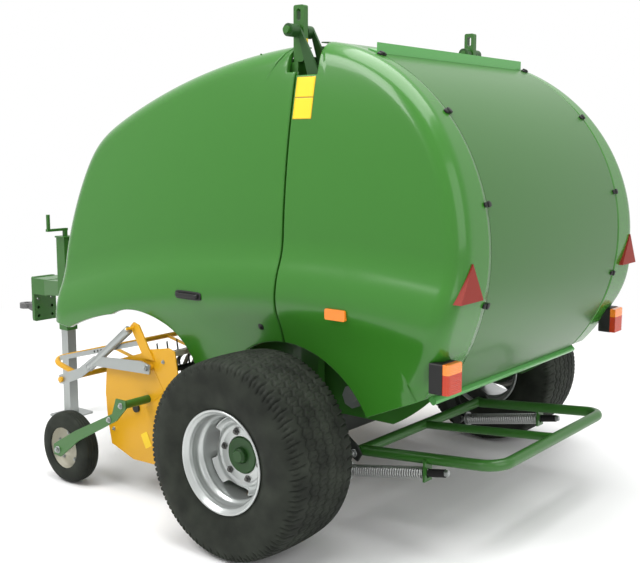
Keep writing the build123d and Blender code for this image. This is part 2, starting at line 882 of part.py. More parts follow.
# Rear shells, notched at the hinge
notch_rear_y = 120
notch_low_z = 2030
shell_skin = rear_form(0, 0, seam_x)
shell_room = rear_form(shell_wall, 60, seam_x - 60)
for side, sign in sides:
    with BuildPart() as shell:
        add(shell_skin)
        add(shell_room, mode=Mode.SUBTRACT)
        with BuildSketch(cross_plane(notch_rear_y)):
            with Locations((seam_x + 150, notch_low_z + 150)):
                Rectangle(400, 300)
        extrude(amount=notch_rear_y + 30, mode=Mode.SUBTRACT)
        with BuildSketch(side_plane(seam_x - 60)):
            with BuildLine():
                Polyline(
                    (800, 750),
                    (674, 707),
                    (402, 592),
                    (-60, 440),
                    (-60, 300),
                    (800, 300),
                    close=True,
                )
            make_face()
            with Locations((0, wheel_radius)):
                Circle(arch_radius)
        extrude(amount=400, mode=Mode.SUBTRACT)
    if sign < 0:
        shell.part = shell.part.mirror(Plane.YZ)
    save(shell, f"rear_shell_{side}")

# Tail lamps, reflectors and side markers, each seated on the shells
lamp_x = 824
lamp_width = 106
lamp_low_z = 766
lamp_height = 128
lamp_rear_y = 816
lens_depth = 27
lamp_depth = 60
with BuildPart() as lamp_housings:
    with BuildSketch(cross_plane(lamp_rear_y)):
        with Locations((lamp_x, lamp_low_z + lamp_height / 2)):
            RectangleRounded(lamp_width, lamp_height, 12)
    extrude(amount=lamp_depth)
    add(rear_form(-seat_gap, 0, seam_x - 60), mode=Mode.SUBTRACT)
    mirror(about=Plane.YZ)
save(lamp_housings, "lamp_housings")

with BuildPart() as lamp_lenses:
    with BuildSketch(cross_plane(lamp_rear_y + lens_depth)):
        with Locations((lamp_x, lamp_low_z + lamp_height / 2)):
            RectangleRounded(lamp_width - 6, lamp_height - 6, 10)
    extrude(amount=lens_depth)
    mirror(about=Plane.YZ)
save(lamp_lenses, "lamp_lenses")

reflector_x = 795
reflector_low_z = 1132
reflector_side = 174
with BuildPart() as reflectors:
    with BuildSketch(cross_plane(shell_radius + 7)):
        with BuildLine():
            Polyline(
                (reflector_x - reflector_side / 2, reflector_low_z),
                (reflector_x + reflector_side / 2, reflector_low_z),
                (reflector_x, reflector_low_z + reflector_side * sqrt(3) / 2),
                close=True,
            )
        make_face()
    extrude(amount=50)
    add(rear_form(-seat_gap, 0, seam_x - 60), mode=Mode.SUBTRACT)
    mirror(about=Plane.YZ)
save(reflectors, "reflectors")

marker_y = 337
marker_z = 1043
with BuildPart() as side_markers:
    with BuildSketch(side_plane(890)):
        with Locations((marker_y, marker_z)):
            RectangleRounded(104, 46, 8)
    extrude(amount=50)
    add(rear_form(-seat_gap, 0, seam_x - 60), mode=Mode.SUBTRACT)
    mirror(about=Plane.YZ)
save(side_markers, "side_markers")

# Hinge arms of the tailgate and the eye plates of its cylinders
rod_pin_y = 190
rod_pin_z = 1930
arm_in_x = 656
arm_plate = 12
arm_out_x = 746
link_y = 60
link_z = 1935
link_foot_y = 45
link_beam_y = 70
link_beam_z = 2025
with BuildPart() as tailgate_hinges:
    for start, width in ((arm_in_x, 44), (arm_out_x, 60)):
        with BuildSketch(side_plane(start)):
            with Locations((hinge_y, hinge_z)):
                Circle(28)
                Circle(hinge_pin_radius + running_gap, mode=Mode.SUBTRACT)
        extrude(amount=width)
    for start, tip_y in ((arm_in_x, rod_pin_y), (arm_out_x, link_y)):
        with BuildSketch(side_plane(start)):
            with BuildLine():
                Polyline(
                    (hinge_y + 17, hinge_z - 20),
                    (link_foot_y, 2040),
                    (link_foot_y, link_z - 35),
                    (tip_y, link_z - 40),
                    (tip_y + 32, link_z - 20),
                    (tip_y + 32, link_z + 20),
                    (tip_y + 6, link_z + 44),
                    (110, 2040),
                    (hinge_y + 24, hinge_z + 14),
                    close=True,
                )
            make_face()
        extrude(amount=arm_plate)
    with BuildSketch(side_plane(plate_out + seat_gap)):
        with Locations((link_beam_y, link_beam_z)):
            Rectangle(50, 50)
    extrude(amount=arm_out_x + arm_plate - plate_out - seat_gap)
    mirror(about=Plane.YZ)
save(tailgate_hinges, "tailgate_hinges")

# Hydraulic cylinders of the tailgate, barrel below and rod above with its pin in the eye
cylinder_run = (rod_pin_y - barrel_pin_y, rod_pin_z - barrel_pin_z)
cylinder_length = hypot(*cylinder_run)
cylinder_dir = (0, cylinder_run[0] / cylinder_length, cylinder_run[1] / cylinder_length)
barrel_length = 590
barrel_radius = 30
rod_steel_radius = 17
eye_radius = 28
rod_tail = 60
pin_start_x = arm_in_x + arm_plate + 0.3
pin_end_x = cylinder_x + 30
pin_span = pin_end_x - pin_start_x
for side, sign in sides:
    foot_point = (sign * cylinder_x, axle_y + barrel_pin_y, barrel_pin_z)
    top_point = (sign * cylinder_x, axle_y + rod_pin_y, rod_pin_z)
    with BuildPart() as barrel:
        with BuildSketch(Plane(origin=foot_point, z_dir=cylinder_dir)):
            Circle(barrel_radius)
        extrude(amount=barrel_length)
        with BuildSketch(Plane(origin=foot_point, z_dir=cylinder_dir)):
            Circle(rod_steel_radius + running_gap)
        extrude(amount=barrel_length + 1, mode=Mode.SUBTRACT)
        with BuildSketch(side_plane(sign * cylinder_x - 22)):
            with Locations((barrel_pin_y, barrel_pin_z)):
                Circle(eye_radius)
        extrude(amount=44)
        with BuildSketch(side_plane(sign * cylinder_x - 40)):
            with Locations((barrel_pin_y, barrel_pin_z)):
                Circle(cylinder_pin_radius + running_gap)
        extrude(amount=80, mode=Mode.SUBTRACT)
    save(barrel, f"cylinder_barrel_{side}")

    with BuildPart() as rod:
        with BuildSketch(Plane(origin=foot_point, z_dir=cylinder_dir).offset(rod_tail)):
            Circle(rod_steel_radius)
        extrude(amount=cylinder_length - rod_tail)
        with BuildSketch(side_plane(sign * cylinder_x - 22)):
            with Locations((rod_pin_y, rod_pin_z)):
                Circle(eye_radius)
        extrude(amount=44)
        with BuildSketch(side_plane(sign * cylinder_x - 40)):
            with Locations((rod_pin_y, rod_pin_z)):
                Circle(cylinder_pin_radius + running_gap)
        extrude(amount=80, mode=Mode.SUBTRACT)
        with BuildSketch(side_plane(sign * (pin_start_x + pin_end_x) / 2 - pin_span / 2)):
            with Locations((rod_pin_y, rod_pin_z)):
                Circle(cylinder_pin_radius)
        extrude(amount=pin_span)
    save(rod, f"cylinder_rod_{side}")

# Pick-up frame: side plates, rear beam, band bars and the arms to its pivot
pickup_plate = 6
reel_shaft_radius = 22
rear_beam_y = -550
rear_beam_z = 560
rear_beam_size = 60
top_bar_y = -672
top_run_slope = 15
top_touch = polar(band_radius, 90 + top_run_slope, reel_y, reel_z)
band_rear_y = -652


def top_run_z(y, drop=0):
    """Height of the bands' straight top run at y."""
    return top_touch[1] - drop / cos(radians(top_run_slope)) + (y - top_touch[0]) * tan(
        radians(top_run_slope)
    )


band_thick = 3
low_run_y = -690
guard_pivot_y = -780
guard_pivot_z = 665
bracket_top_y = -900
strut_top_z = 845
with BuildPart() as pickup_frame:
    with BuildSketch(side_plane(pickup_half)):
        with BuildLine():
            Polyline(
                (-1121, 641),
                (-1138, 478),
                (-1125, 339),
                (-1100, 220),
                (-935, 168),
                (-680, 176),
                (-640, 400),
                (-515, 520),
                (-515, 596),
                (-600, 640),
                (-620, 760),
                (-660, 772),
                (-789, 750),
                (-870, 718),
                close=True,
            )
        make_face()
        with Locations((reel_y, reel_z)):
            Circle(reel_shaft_radius + running_gap, mode=Mode.SUBTRACT)
    extrude(amount=pickup_plate)
    with BuildSketch(side_plane(pickup_half + pickup_plate)):
        with BuildLine():
            Polyline((-760, 700), (-830, 700), (-925, 850), (-900, 872), (-862, 862), close=True)
        make_face()
    extrude(amount=8)
    with BuildSketch(side_plane(pickup_half + pickup_plate + 8)):
        with Locations((bracket_top_y, strut_top_z)):
            Circle(7)
    extrude(amount=44)
    with BuildSketch(side_plane(pickup_half + pickup_plate)):
        with Locations((guard_pivot_y, guard_pivot_z)):
            Circle(12)
    extrude(amount=50)
    with BuildSketch(side_plane(plate_out + 90 + 1)):
        with BuildLine():
            Polyline(
                (rear_beam_y - 40, rear_beam_z),
                (rear_beam_y + 30, rear_beam_z),
                (pivot_y + 36, pivot_z),
                (pivot_y - 36, pivot_z),
                close=True,
            )
        make_face()
        with Locations((pivot_y, pivot_z)):
            Circle(38)
            Circle(20 + running_gap, mode=Mode.SUBTRACT)
    extrude(amount=14)
    mirror(about=Plane.YZ)
    with BuildSketch(side_plane(-pickup_half)):
        with Locations((rear_beam_y, rear_beam_z)):
            Rectangle(rear_beam_size, rear_beam_size)
    extrude(amount=2 * pickup_half)
save(pickup_frame, "pickup_frame")

# Stripper bands: bent steel straps round the reel, with the tines running between them
tine_pitch = 68
tine_columns = 27
band_width = 34
band_half_count = (tine_columns - 1) / 2
with BuildPart() as stripper_bands:
    with BuildSketch(side_plane(-pickup_half + seat_gap)):
        with BuildLine():
            Polyline(
                (top_bar_y - 15, top_run_z(top_bar_y - 15, band_thick - 1)),
                (top_bar_y + 15, top_run_z(top_bar_y + 15, band_thick - 1)),
                (top_bar_y + 15, top_run_z(top_bar_y + 15, band_thick) - 24),
                (top_bar_y - 15, top_run_z(top_bar_y - 15, band_thick) - 24),
                close=True,
            )
        make_face()
        with Locations((low_run_y, reel_z - band_radius - 8)):
            Rectangle(24, 18)
    extrude(amount=2 * (pickup_half - seat_gap))
    for column in range(tine_columns):
        middle_x = (column - band_half_count) * tine_pitch
        with BuildSketch(side_plane(middle_x - band_width / 2)):
            with BuildLine():
                points = [(band_rear_y, top_run_z(band_rear_y))]
                inner_points = [(band_rear_y, top_run_z(band_rear_y, band_thick))]
                steps = 9
                for step in range(steps + 1):
                    turn = 90 + top_run_slope + step * (180 - top_run_slope) / steps
                    points.append(polar(band_radius, turn, reel_y, reel_z))
                    inner_points.append(polar(band_radius - band_thick, turn, reel_y, reel_z))
                points.append((low_run_y + 12, reel_z - band_radius))
                inner_points.append((low_run_y + 12, reel_z - band_radius + band_thick))
                Polyline(*points, *reversed(inner_points), close=True)
            make_face()
        extrude(amount=band_width)
save(stripper_bands, "stripper_bands")

# Pick-up reel: centre tube with end discs, four tine bars and their spring tines
reel_half = 915
tine_bars = 4
bar_ring = 150
bar_radius = 15
tine_thick = 6
tine_shape = (
    (bar_ring + bar_radius - 3, -5),
    (bar_ring + bar_radius - 3, 3),
    (tine_radius - 8, 22),
    (tine_radius, 18),
)
with BuildPart() as reel_core:
    with BuildSketch(side_plane(-reel_half)):
        with Locations((reel_y, reel_z)):
            Circle(36)
    extrude(amount=2 * reel_half)
    with BuildSketch(side_plane(-pickup_half - pickup_plate - 10)):
        with Locations((reel_y, reel_z)):
            Circle(reel_shaft_radius)
    extrude(amount=2 * (pickup_half + pickup_plate + 10))
    for start in (-reel_half, -4, reel_half - 8):
        with BuildSketch(side_plane(start)):
            with Locations((reel_y, reel_z)):
                Circle(60)
                with PolarLocations(bar_ring / 2, tine_bars):
                    Rectangle(bar_ring, 50)
                with PolarLocations(bar_ring, tine_bars):
                    Circle(25)
        extrude(amount=8)
    with BuildSketch(side_plane(-reel_half)):
        with Locations((reel_y, reel_z)):
            with PolarLocations(bar_ring, tine_bars):
                Circle(bar_radius)
    extrude(amount=2 * reel_half)
    for column in range(tine_columns - 1):
        middle_x = (column + 0.5 - band_half_count) * tine_pitch
        with BuildSketch(side_plane(middle_x - tine_thick / 2)):
            for bar in range(tine_bars):
                with BuildLine():
                    Polyline(*turned(tine_shape, 90 * bar, reel_y, reel_z), close=True)
                make_face()
        extrude(amount=tine_thick)
save(reel_core, "reel_core")

# Crop guard over the pick-up: flat arms, cross tube in front and the bent bumper tube
guard_arm_x = pickup_half + pickup_plate + 30
guard_arm_thick = 8
guard_front_y = -1449
guard_front_z = 508
guard_tube_radius = 15
guard_bar_z = 640
with BuildPart() as guard_arms:
    with BuildSketch(side_plane(guard_arm_x)):
        with BuildLine():
            Polyline(
                (guard_pivot_y + 26, guard_pivot_z + 16),
                (guard_pivot_y - 40, guard_pivot_z + 30),
                (-1180, guard_pivot_z + 4),
                (-1300, 590),
                (guard_front_y - 24, guard_front_z + 20),
                (guard_front_y - 20, guard_front_z - 26),
                (guard_front_y + 20, guard_front_z - 22),
                (-1290, 540),
                (-1170, 620),
                (guard_pivot_y + 20, guard_pivot_z - 28),
                close=True,
            )
        make_face()
        with Locations((guard_pivot_y, guard_pivot_z)):
            Circle(12 + running_gap, mode=Mode.SUBTRACT)
        with Locations((guard_front_y, guard_front_z)):
            Circle(guard_tube_radius, mode=Mode.SUBTRACT)
    extrude(amount=guard_arm_thick)
    mirror(about=Plane.YZ)
save(guard_arms, "guard_arms")

guard_x = guard_arm_x + guard_arm_thick
bumper_x = 860
bumper_y = -1700
bumper_z = 560
with BuildPart() as crop_guard:
    with BuildSketch(side_plane(-guard_x - 12)):
        with Locations((guard_front_y, guard_front_z)):
            Circle(guard_tube_radius)
    extrude(amount=2 * guard_x + 24)
    with BuildLine() as bumper_path:
        run = FilletPolyline(
            (bumper_x, axle_y + guard_front_y - 10, guard_front_z),
            (bumper_x, axle_y + bumper_y, bumper_z),
            (-bumper_x, axle_y + bumper_y, bumper_z),
            (-bumper_x, axle_y + guard_front_y - 10, guard_front_z),
            radius=90,
        )
    with BuildSketch(Plane(origin=run @ 0, z_dir=run % 0)):
        Circle(guard_tube_radius)
    sweep(path=run)
    for x in (-430, 0, 430):
        with BuildSketch(side_plane(x - 5)):
            with BuildLine():
                Polyline(
                    (bumper_y, bumper_z + 8),
                    (bumper_y, bumper_z - 8),
                    (guard_front_y, guard_front_z - 8),
                    (guard_front_y, guard_front_z + 8),
                    close=True,
                )
            make_face()
        extrude(amount=10)
save(crop_guard, "crop_guard")

# Gauge wheels of the pick-up on flat arms
gauge_x = 1034
gauge_y = -1318
gauge_radius = 185
gauge_half = 45
gauge_rim_radius = 128
gauge_axle_radius = 12.5
gauge_arm_x = 1106
gauge_arm_thick = 8
with BuildPart() as gauge_arms:
    with BuildSketch(side_plane(gauge_arm_x)):
        with BuildLine():
            Polyline(
                (gauge_y - 34, gauge_radius - 30),
                (gauge_y + 20, gauge_radius - 34),
                (-1150, 262),
                (-850, 420),
                (-780, 490),
                (-780, 530),
                (-850, 530),
                (-880, 450),
                (-1170, 312),
                (gauge_y - 14, gauge_radius + 36),
                (gauge_y - 34, gauge_radius + 24),
                close=True,
            )
        make_face()
    extrude(amount=gauge_arm_thick)
    with BuildSketch(side_plane(pickup_half + pickup_plate)):
        with Locations((-815, 500)):
            Circle(20)
    extrude(amount=gauge_arm_x - pickup_half - pickup_plate)
    with BuildSketch(side_plane(gauge_x - gauge_half - 12)):
        with Locations((gauge_y, gauge_radius)):
            Circle(gauge_axle_radius)
    extrude(amount=gauge_arm_x - gauge_x + gauge_half + 12)
    mirror(about=Plane.YZ)
save(gauge_arms, "gauge_arms")

for side, sign in sides:
    spin = x_axis(gauge_y, gauge_radius)
    with BuildPart() as gauge_tyre:
        with BuildSketch(level_plane(gauge_radius)):
            with BuildLine():
                Polyline(
                    (8 - gauge_half, gauge_y + gauge_rim_radius),
                    (gauge_half - 8, gauge_y + gauge_rim_radius),
                    (gauge_half, gauge_y + 152),
                    (gauge_half - 10, gauge_y + 177),
                    (gauge_half - 28, gauge_y + gauge_radius),
                    (28 - gauge_half, gauge_y + gauge_radius),
                    (10 - gauge_half, gauge_y + 177),
                    (-gauge_half, gauge_y + 152),
                    close=True,
                )
            make_face()
        revolve(axis=spin)
    gauge_tyre.part.locate(Location((sign * gauge_x, 0, 0)))
    save(gauge_tyre, f"gauge_tyre_{side}")

    with BuildPart() as gauge_rim:
        with BuildSketch(level_plane(gauge_radius)):
            with BuildLine():
                Polyline(
                    (-gauge_half - 6, gauge_y + gauge_axle_radius + running_gap),
                    (-gauge_half - 6, gauge_y + 30),
                    (-6, gauge_y + 34),
                    (-6, gauge_y + 100),
                    (-gauge_half + 8, gauge_y + 116),
                    (-gauge_half + 8, gauge_y + gauge_rim_radius - seat_gap),
                    (gauge_half - 8, gauge_y + gauge_rim_radius - seat_gap),
                    (gauge_half - 8, gauge_y + 116),
                    (6, gauge_y + 100),
                    (6, gauge_y + 34),
                    (gauge_half + 6, gauge_y + 30),
                    (gauge_half + 6, gauge_y + gauge_axle_radius + running_gap),
                    close=True,
                )
            make_face()
        revolve(axis=spin)
    gauge_rim.part.locate(Location((sign * gauge_x, 0, 0)))
    save(gauge_rim, f"gauge_rim_{side}")

# Bale ramp: hinge tube across the rear, with a bent tube and a middle tube behind it
ramp_y = 185
ramp_z = 339
ramp_tube = 25
ramp_half = 560
ramp_pin_radius = 15
ramp_rear_y = 895
ramp_rear_z = 405
rod_hole_y = 550
rod_hole_z = 311
rod_hole_x = 547
with BuildPart() as bale_ramp:
    with BuildSketch(side_plane(-ramp_half)):
        with Locations((ramp_y, ramp_z)):
            Circle(ramp_tube)
    extrude(amount=2 * ramp_half)
    with BuildSketch(side_plane(-ramp_half - 40)):
        with Locations((ramp_y, ramp_z)):
            Circle(ramp_pin_radius)
    extrude(amount=2 * (ramp_half + 40))
    with BuildLine():
        bend = FilletPolyline(
            (ramp_half - ramp_tube, axle_y + ramp_y + 12, ramp_z + 1),
            (ramp_half - ramp_tube, axle_y + ramp_rear_y, ramp_rear_z),
            (ramp_tube - ramp_half, axle_y + ramp_rear_y, ramp_rear_z),
            (ramp_tube - ramp_half, axle_y + ramp_y + 12, ramp_z + 1),
            radius=90,
        )
    with BuildSketch(Plane(origin=bend @ 0, z_dir=bend % 0)):
        Circle(ramp_tube)
    sweep(path=bend)
    with BuildSketch(cross_plane(ramp_rear_y)):
        with Locations((0, ramp_rear_z)):
            Circle(20)
    with BuildSketch(cross_plane(ramp_y + 10)):
        with Locations((0, ramp_z)):
            Circle(20)
    loft()
    for sign in (1, -1):
        with BuildSketch(side_plane(sign * rod_hole_x - 30)):
            with BuildLine():
                Polyline(
                    (rod_hole_y - 5, rod_hole_z - 36),
                    (rod_hole_y + 5, rod_hole_z - 36),
                    (rod_hole_y + 5, 372),
                    (rod_hole_y - 5, 372),
                    close=True,
                )
            make_face()
        extrude(amount=60)
        with BuildSketch(cross_plane(rod_hole_y + 5)):
            with Locations((sign * rod_hole_x, rod_hole_z)):
                SlotOverall(44, 26, rotation=90)
        extrude(amount=10, mode=Mode.SUBTRACT)
save(bale_ramp, "bale_ramp")

# Ramp carrier: arms from the axle beam to the hinge tube, and eyes for the spring rods
eye_y = 70
rod_eye_z = 222
carrier_x = 585
with BuildPart() as ramp_carrier:
    with BuildSketch(side_plane(carrier_x)):
        with BuildLine():
            Polyline(
                (axle_size / 2, wheel_radius + 30),
                (axle_size / 2, wheel_radius - axle_size / 2),
                (ramp_y + 20, ramp_z - 36),
                (ramp_y + 42, ramp_z),
                (ramp_y + 20, ramp_z + 36),
                (axle_size / 2 + 30, wheel_radius + 30),
                close=True,
            )
        make_face()
        with Locations((ramp_y, ramp_z)):
            Circle(ramp_pin_radius + running_gap, mode=Mode.SUBTRACT)
    extrude(amount=12)
    for start in (rod_hole_x - 30, rod_hole_x + 20):
        with BuildSketch(side_plane(start)):
            with BuildLine():
                Polyline(
                    (-20, wheel_radius - axle_size / 2),
                    (-20, wheel_radius - axle_size / 2 - 40),
                    (eye_y - 18, rod_eye_z - 18),
                    (eye_y + 16, rod_eye_z - 18),
                    (eye_y + 20, rod_eye_z + 10),
                    (30, wheel_radius - axle_size / 2),
                    close=True,
                )
            make_face()
        extrude(amount=10)
    with BuildSketch(side_plane(rod_hole_x - 30)):
        with Locations((eye_y, rod_eye_z)):
            Circle(8)
    extrude(amount=60)
    mirror(about=Plane.YZ)
save(ramp_carrier, "ramp_carrier")

# Spring rods of the ramp, with their coil springs and rubber sleeves
rod_run = (rod_hole_y - eye_y, rod_hole_z - rod_eye_z)
rod_run_length = hypot(*rod_run)
rod_dir = (0, rod_run[0] / rod_run_length, rod_run[1] / rod_run_length)
spring_radius = 30
wire_radius = 6
line = Plane(origin=(rod_hole_x, axle_y + eye_y, rod_eye_z), z_dir=rod_dir)
with BuildPart() as ramp_rods:
    with BuildSketch(line):
        Circle(10)
    extrude(amount=rod_run_length + 110)
    with BuildSketch(line.offset(52)):
        Circle(spring_radius + 10)
    extrude(amount=6)
    with BuildSketch(line.offset(rod_run_length + 92)):
        RegularPolygon(15, 6)
    extrude(amount=16)
    with BuildSketch(side_plane(rod_hole_x - 10)):
        with Locations((eye_y, rod_eye_z)):
            Circle(20)
    extrude(amount=20)
    with BuildSketch(side_plane(rod_hole_x - 12)):
        with Locations((eye_y, rod_eye_z)):
            Circle(8 + running_gap)
    extrude(amount=24, mode=Mode.SUBTRACT)
    mirror(about=Plane.YZ)
save(ramp_rods, "ramp_rods")

spring_start = 58
spring_end = rod_run_length - 11.5
with BuildPart() as ramp_springs:
    with BuildSketch(line.offset(spring_start)):
        Circle(spring_radius)
        Circle(spring_radius - 2 * wire_radius, mode=Mode.SUBTRACT)
    extrude(amount=spring_end - spring_start)
    mirror(about=Plane.YZ)
save(ramp_springs, "ramp_springs")

with BuildPart() as ramp_buffers:
    with BuildSketch(line.offset(rod_run_length + 12)):
        Circle(18)
        Circle(10 + seat_gap, mode=Mode.SUBTRACT)
    extrude(amount=80)
    mirror(about=Plane.YZ)
save(ramp_buffers, "ramp_buffers")
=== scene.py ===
import json
import math

import bmesh
import bpy
import numpy as np
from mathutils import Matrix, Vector


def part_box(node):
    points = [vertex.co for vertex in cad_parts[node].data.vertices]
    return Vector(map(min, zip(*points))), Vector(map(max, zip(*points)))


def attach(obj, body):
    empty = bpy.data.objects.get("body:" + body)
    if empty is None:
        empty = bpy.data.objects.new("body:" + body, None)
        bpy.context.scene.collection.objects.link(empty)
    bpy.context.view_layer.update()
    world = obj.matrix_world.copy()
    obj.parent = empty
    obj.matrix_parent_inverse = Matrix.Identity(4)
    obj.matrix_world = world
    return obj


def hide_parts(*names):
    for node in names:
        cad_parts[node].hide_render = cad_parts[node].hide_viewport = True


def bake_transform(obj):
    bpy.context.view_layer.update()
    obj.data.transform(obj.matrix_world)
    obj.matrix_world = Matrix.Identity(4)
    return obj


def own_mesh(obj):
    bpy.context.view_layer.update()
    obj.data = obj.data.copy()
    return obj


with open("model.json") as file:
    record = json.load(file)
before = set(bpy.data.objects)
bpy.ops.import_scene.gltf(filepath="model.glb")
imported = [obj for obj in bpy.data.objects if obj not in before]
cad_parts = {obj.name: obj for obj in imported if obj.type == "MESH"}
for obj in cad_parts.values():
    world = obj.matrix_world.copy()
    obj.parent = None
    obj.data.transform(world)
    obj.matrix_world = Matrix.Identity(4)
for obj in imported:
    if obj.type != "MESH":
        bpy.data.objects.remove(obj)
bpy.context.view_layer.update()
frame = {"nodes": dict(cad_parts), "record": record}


# Camera, floor and light
# The picture was taken from the machine's rear left at head height.
# The axle's place gives the camera its place, since the axle is in the picture.
axle_low, axle_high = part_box("axle_beam")
axle_y = (axle_low.y + axle_high.y) / 2
# Lengths are in metres, and the view's turn and drop in degrees.
view_turn, view_drop = 128.58, 8.09
sky_level = 0.66
floor_half, floor_drop = 40.0, 0.002
fade_from, fade_to = 2.4, 5.5
camera_data = bpy.data.cameras.new("camera")
camera_data.lens = 55.02
camera_data.sensor_width = 36.0
camera = bpy.data.objects.new("camera", camera_data)
bpy.context.scene.collection.objects.link(camera)
camera.location = (4.064, axle_y + 2.754, 1.744)
camera.rotation_euler = (math.radians(90 - view_drop), 0.0, math.radians(view_turn))
scene = bpy.context.scene
scene.camera = camera
scene.render.resolution_x = 640
scene.render.resolution_y = 563
scene.render.resolution_percentage = 100
scene.view_settings.view_transform = "Standard"


def material(name, colour, rough, metal=0.0, coat=0.0, specular=0.5):
    """A plain surface: linear base colour, roughness, metal share, clear coat, specular level."""
    made = bpy.data.materials.new(name)
    made.use_nodes = True
    surface = made.node_tree.nodes["Principled BSDF"]
    surface.inputs["Base Color"].default_value = (*colour, 1.0)
    surface.inputs["Roughness"].default_value = rough
    surface.inputs["Metallic"].default_value = metal
    surface.inputs["Coat Weight"].default_value = coat
    surface.inputs["Specular IOR Level"].default_value = specular
    surface.inputs["Coat Roughness"].default_value = 0.05
    return made


def seen_rays(tree):
    """Socket that is 1 for camera, glossy and transmission rays, and 0 for all others."""
    ray = tree.nodes.new("ShaderNodeLightPath")
    seen = ray.outputs["Is Camera Ray"]
    for name in ("Is Glossy Ray", "Is Transmission Ray"):
        either = tree.nodes.new("ShaderNodeMath")
        either.operation = "MAXIMUM"
        tree.links.new(seen, either.inputs[0])
        tree.links.new(ray.outputs[name], either.inputs[1])
        seen = either.outputs[0]
    return seen


world = bpy.data.worlds.new("studio")
world.use_nodes = True
sky_nodes, sky_links = world.node_tree.nodes, world.node_tree.links
sky_nodes["Background"].inputs["Color"].default_value = (1.0, 1.0, 1.0, 1.0)
level = sky_nodes.new("ShaderNodeMapRange")
level.inputs["To Min"].default_value = sky_level
level.inputs["To Max"].default_value = 1.0
sky_links.new(seen_rays(world.node_tree), level.inputs["Value"])
sky_links.new(level.outputs["Result"], sky_nodes["Background"].inputs["Strength"])
scene.world = world

# Far from the machine the floor is seen as white as the background; near it, it keeps the shadow.
floor_paint = material("floor", (0.88, 0.88, 0.88), 0.9, specular=0.1)
floor_nodes, floor_links = floor_paint.node_tree.nodes, floor_paint.node_tree.links
place_on_floor = floor_nodes.new("ShaderNodeTexCoord")
reach = floor_nodes.new("ShaderNodeVectorMath")
reach.operation = "LENGTH"
floor_links.new(place_on_floor.outputs["Object"], reach.inputs[0])
fade = floor_nodes.new("ShaderNodeMapRange")
fade.interpolation_type = "SMOOTHSTEP"
fade.inputs["From Min"].default_value = fade_from
fade.inputs["From Max"].default_value = fade_to
floor_links.new(reach.outputs["Value"], fade.inputs["Value"])
share = floor_nodes.new("ShaderNodeMath")
share.operation = "MULTIPLY"
floor_links.new(fade.outputs["Result"], share.inputs[0])
floor_links.new(seen_rays(floor_paint.node_tree), share.inputs[1])
white = floor_nodes.new("ShaderNodeEmission")
white.inputs["Color"].default_value = (1.0, 1.0, 1.0, 1.0)
white.inputs["Strength"].default_value = 1.0
mixed = floor_nodes.new("ShaderNodeMixShader")
floor_links.new(share.outputs[0], mixed.inputs[0])
floor_links.new(floor_nodes["Principled BSDF"].outputs["BSDF"], mixed.inputs[1])
floor_links.new(white.outputs["Emission"], mixed.inputs[2])
floor_links.new(mixed.outputs["Shader"], floor_nodes["Material Output"].inputs["Surface"])

floor_mesh = bpy.data.meshes.new("floor")
floor_mesh.from_pydata(
    [
        (x * floor_half, y * floor_half, -floor_drop)
        for x, y in ((-1, -1), (1, -1), (1, 1), (-1, 1))
    ],
    [],
    [(0, 1, 2, 3)],
)
floor_mesh.materials.append(floor_paint)
floor = bpy.data.objects.new("floor", floor_mesh)
scene.collection.objects.link(floor)

for name, place, aim, size, power in (
    ("key", (5.5, -2.0, 7.0), (0, 0, 1.0), 4.0, 430.0),
    ("fill", (2.0, 7.5, 4.0), (0, 0, 1.0), 5.0, 150.0),
    ("top", (0.0, 1.5, 8.0), (0, 1.0, 1.0), 6.0, 640.0),
):
    lamp_data = bpy.data.lights.new(name, "AREA")
    lamp_data.size = size
    lamp_data.energy = power
    lamp = bpy.data.objects.new(name, lamp_data)
    lamp.location = place
    lamp.rotation_euler = (Vector(aim) - Vector(place)).to_track_quat("-Z", "Y").to_euler()
    scene.collection.objects.link(lamp)


# Paints and finishes of the pieces taken from the exact model
# Sheet steel in green and yellow paint, plated and chromed steel, cast iron, rubber and plastic.
# The record names a finish for each node; hubs, hinges and stripper bands get their own paint. Hubs
# and hinges take a darker copy of the green paint: painted shade inside the rims and in the shells'
# notch.
green = material("green_gloss", (0.030, 0.155, 0.014), 0.24, coat=0.25, specular=0.3)
green_paint = material("green_paint", (0.026, 0.115, 0.014), 0.34, coat=0.1, specular=0.4)
light_green = material("light_green", (0.085, 0.33, 0.075), 0.28)
yellow = material("yellow", (0.62, 0.32, 0.008), 0.36, specular=0.35)
zinc = material("zinc", (0.34, 0.36, 0.35), 0.34, metal=0.85)
dark_steel = material("dark_steel", (0.018, 0.022, 0.018), 0.5, specular=0.3)
cast = material("cast", (0.12, 0.12, 0.12), 0.5, metal=0.4)
rim_grey = material("rim_grey", (0.50, 0.51, 0.52), 0.34, metal=0.35)
cream = material("cream", (0.46, 0.44, 0.35), 0.45)
# Green paint at about half its brightness, for parts that sit in shade: painted shade.
shaded_green = material("shaded_green", (0.016, 0.062, 0.012), 0.4, specular=0.35)
chrome = material("chrome", (0.75, 0.76, 0.78), 0.08, metal=1.0)
tyre_black = material("tyre_black", (0.020, 0.022, 0.018), 0.7, specular=0.2)
rubber = material("rubber", (0.012, 0.012, 0.012), 0.6, specular=0.2)
black_plastic = material("black_plastic", (0.014, 0.014, 0.014), 0.45, specular=0.3)
lens_red = material("lens_red", (0.46, 0.036, 0.010), 0.2, specular=0.4)
reflector_red = material("reflector_red", (0.22, 0.022, 0.014), 0.5, specular=0.2)
amber = material("amber", (0.85, 0.22, 0.010), 0.2, coat=0.5)

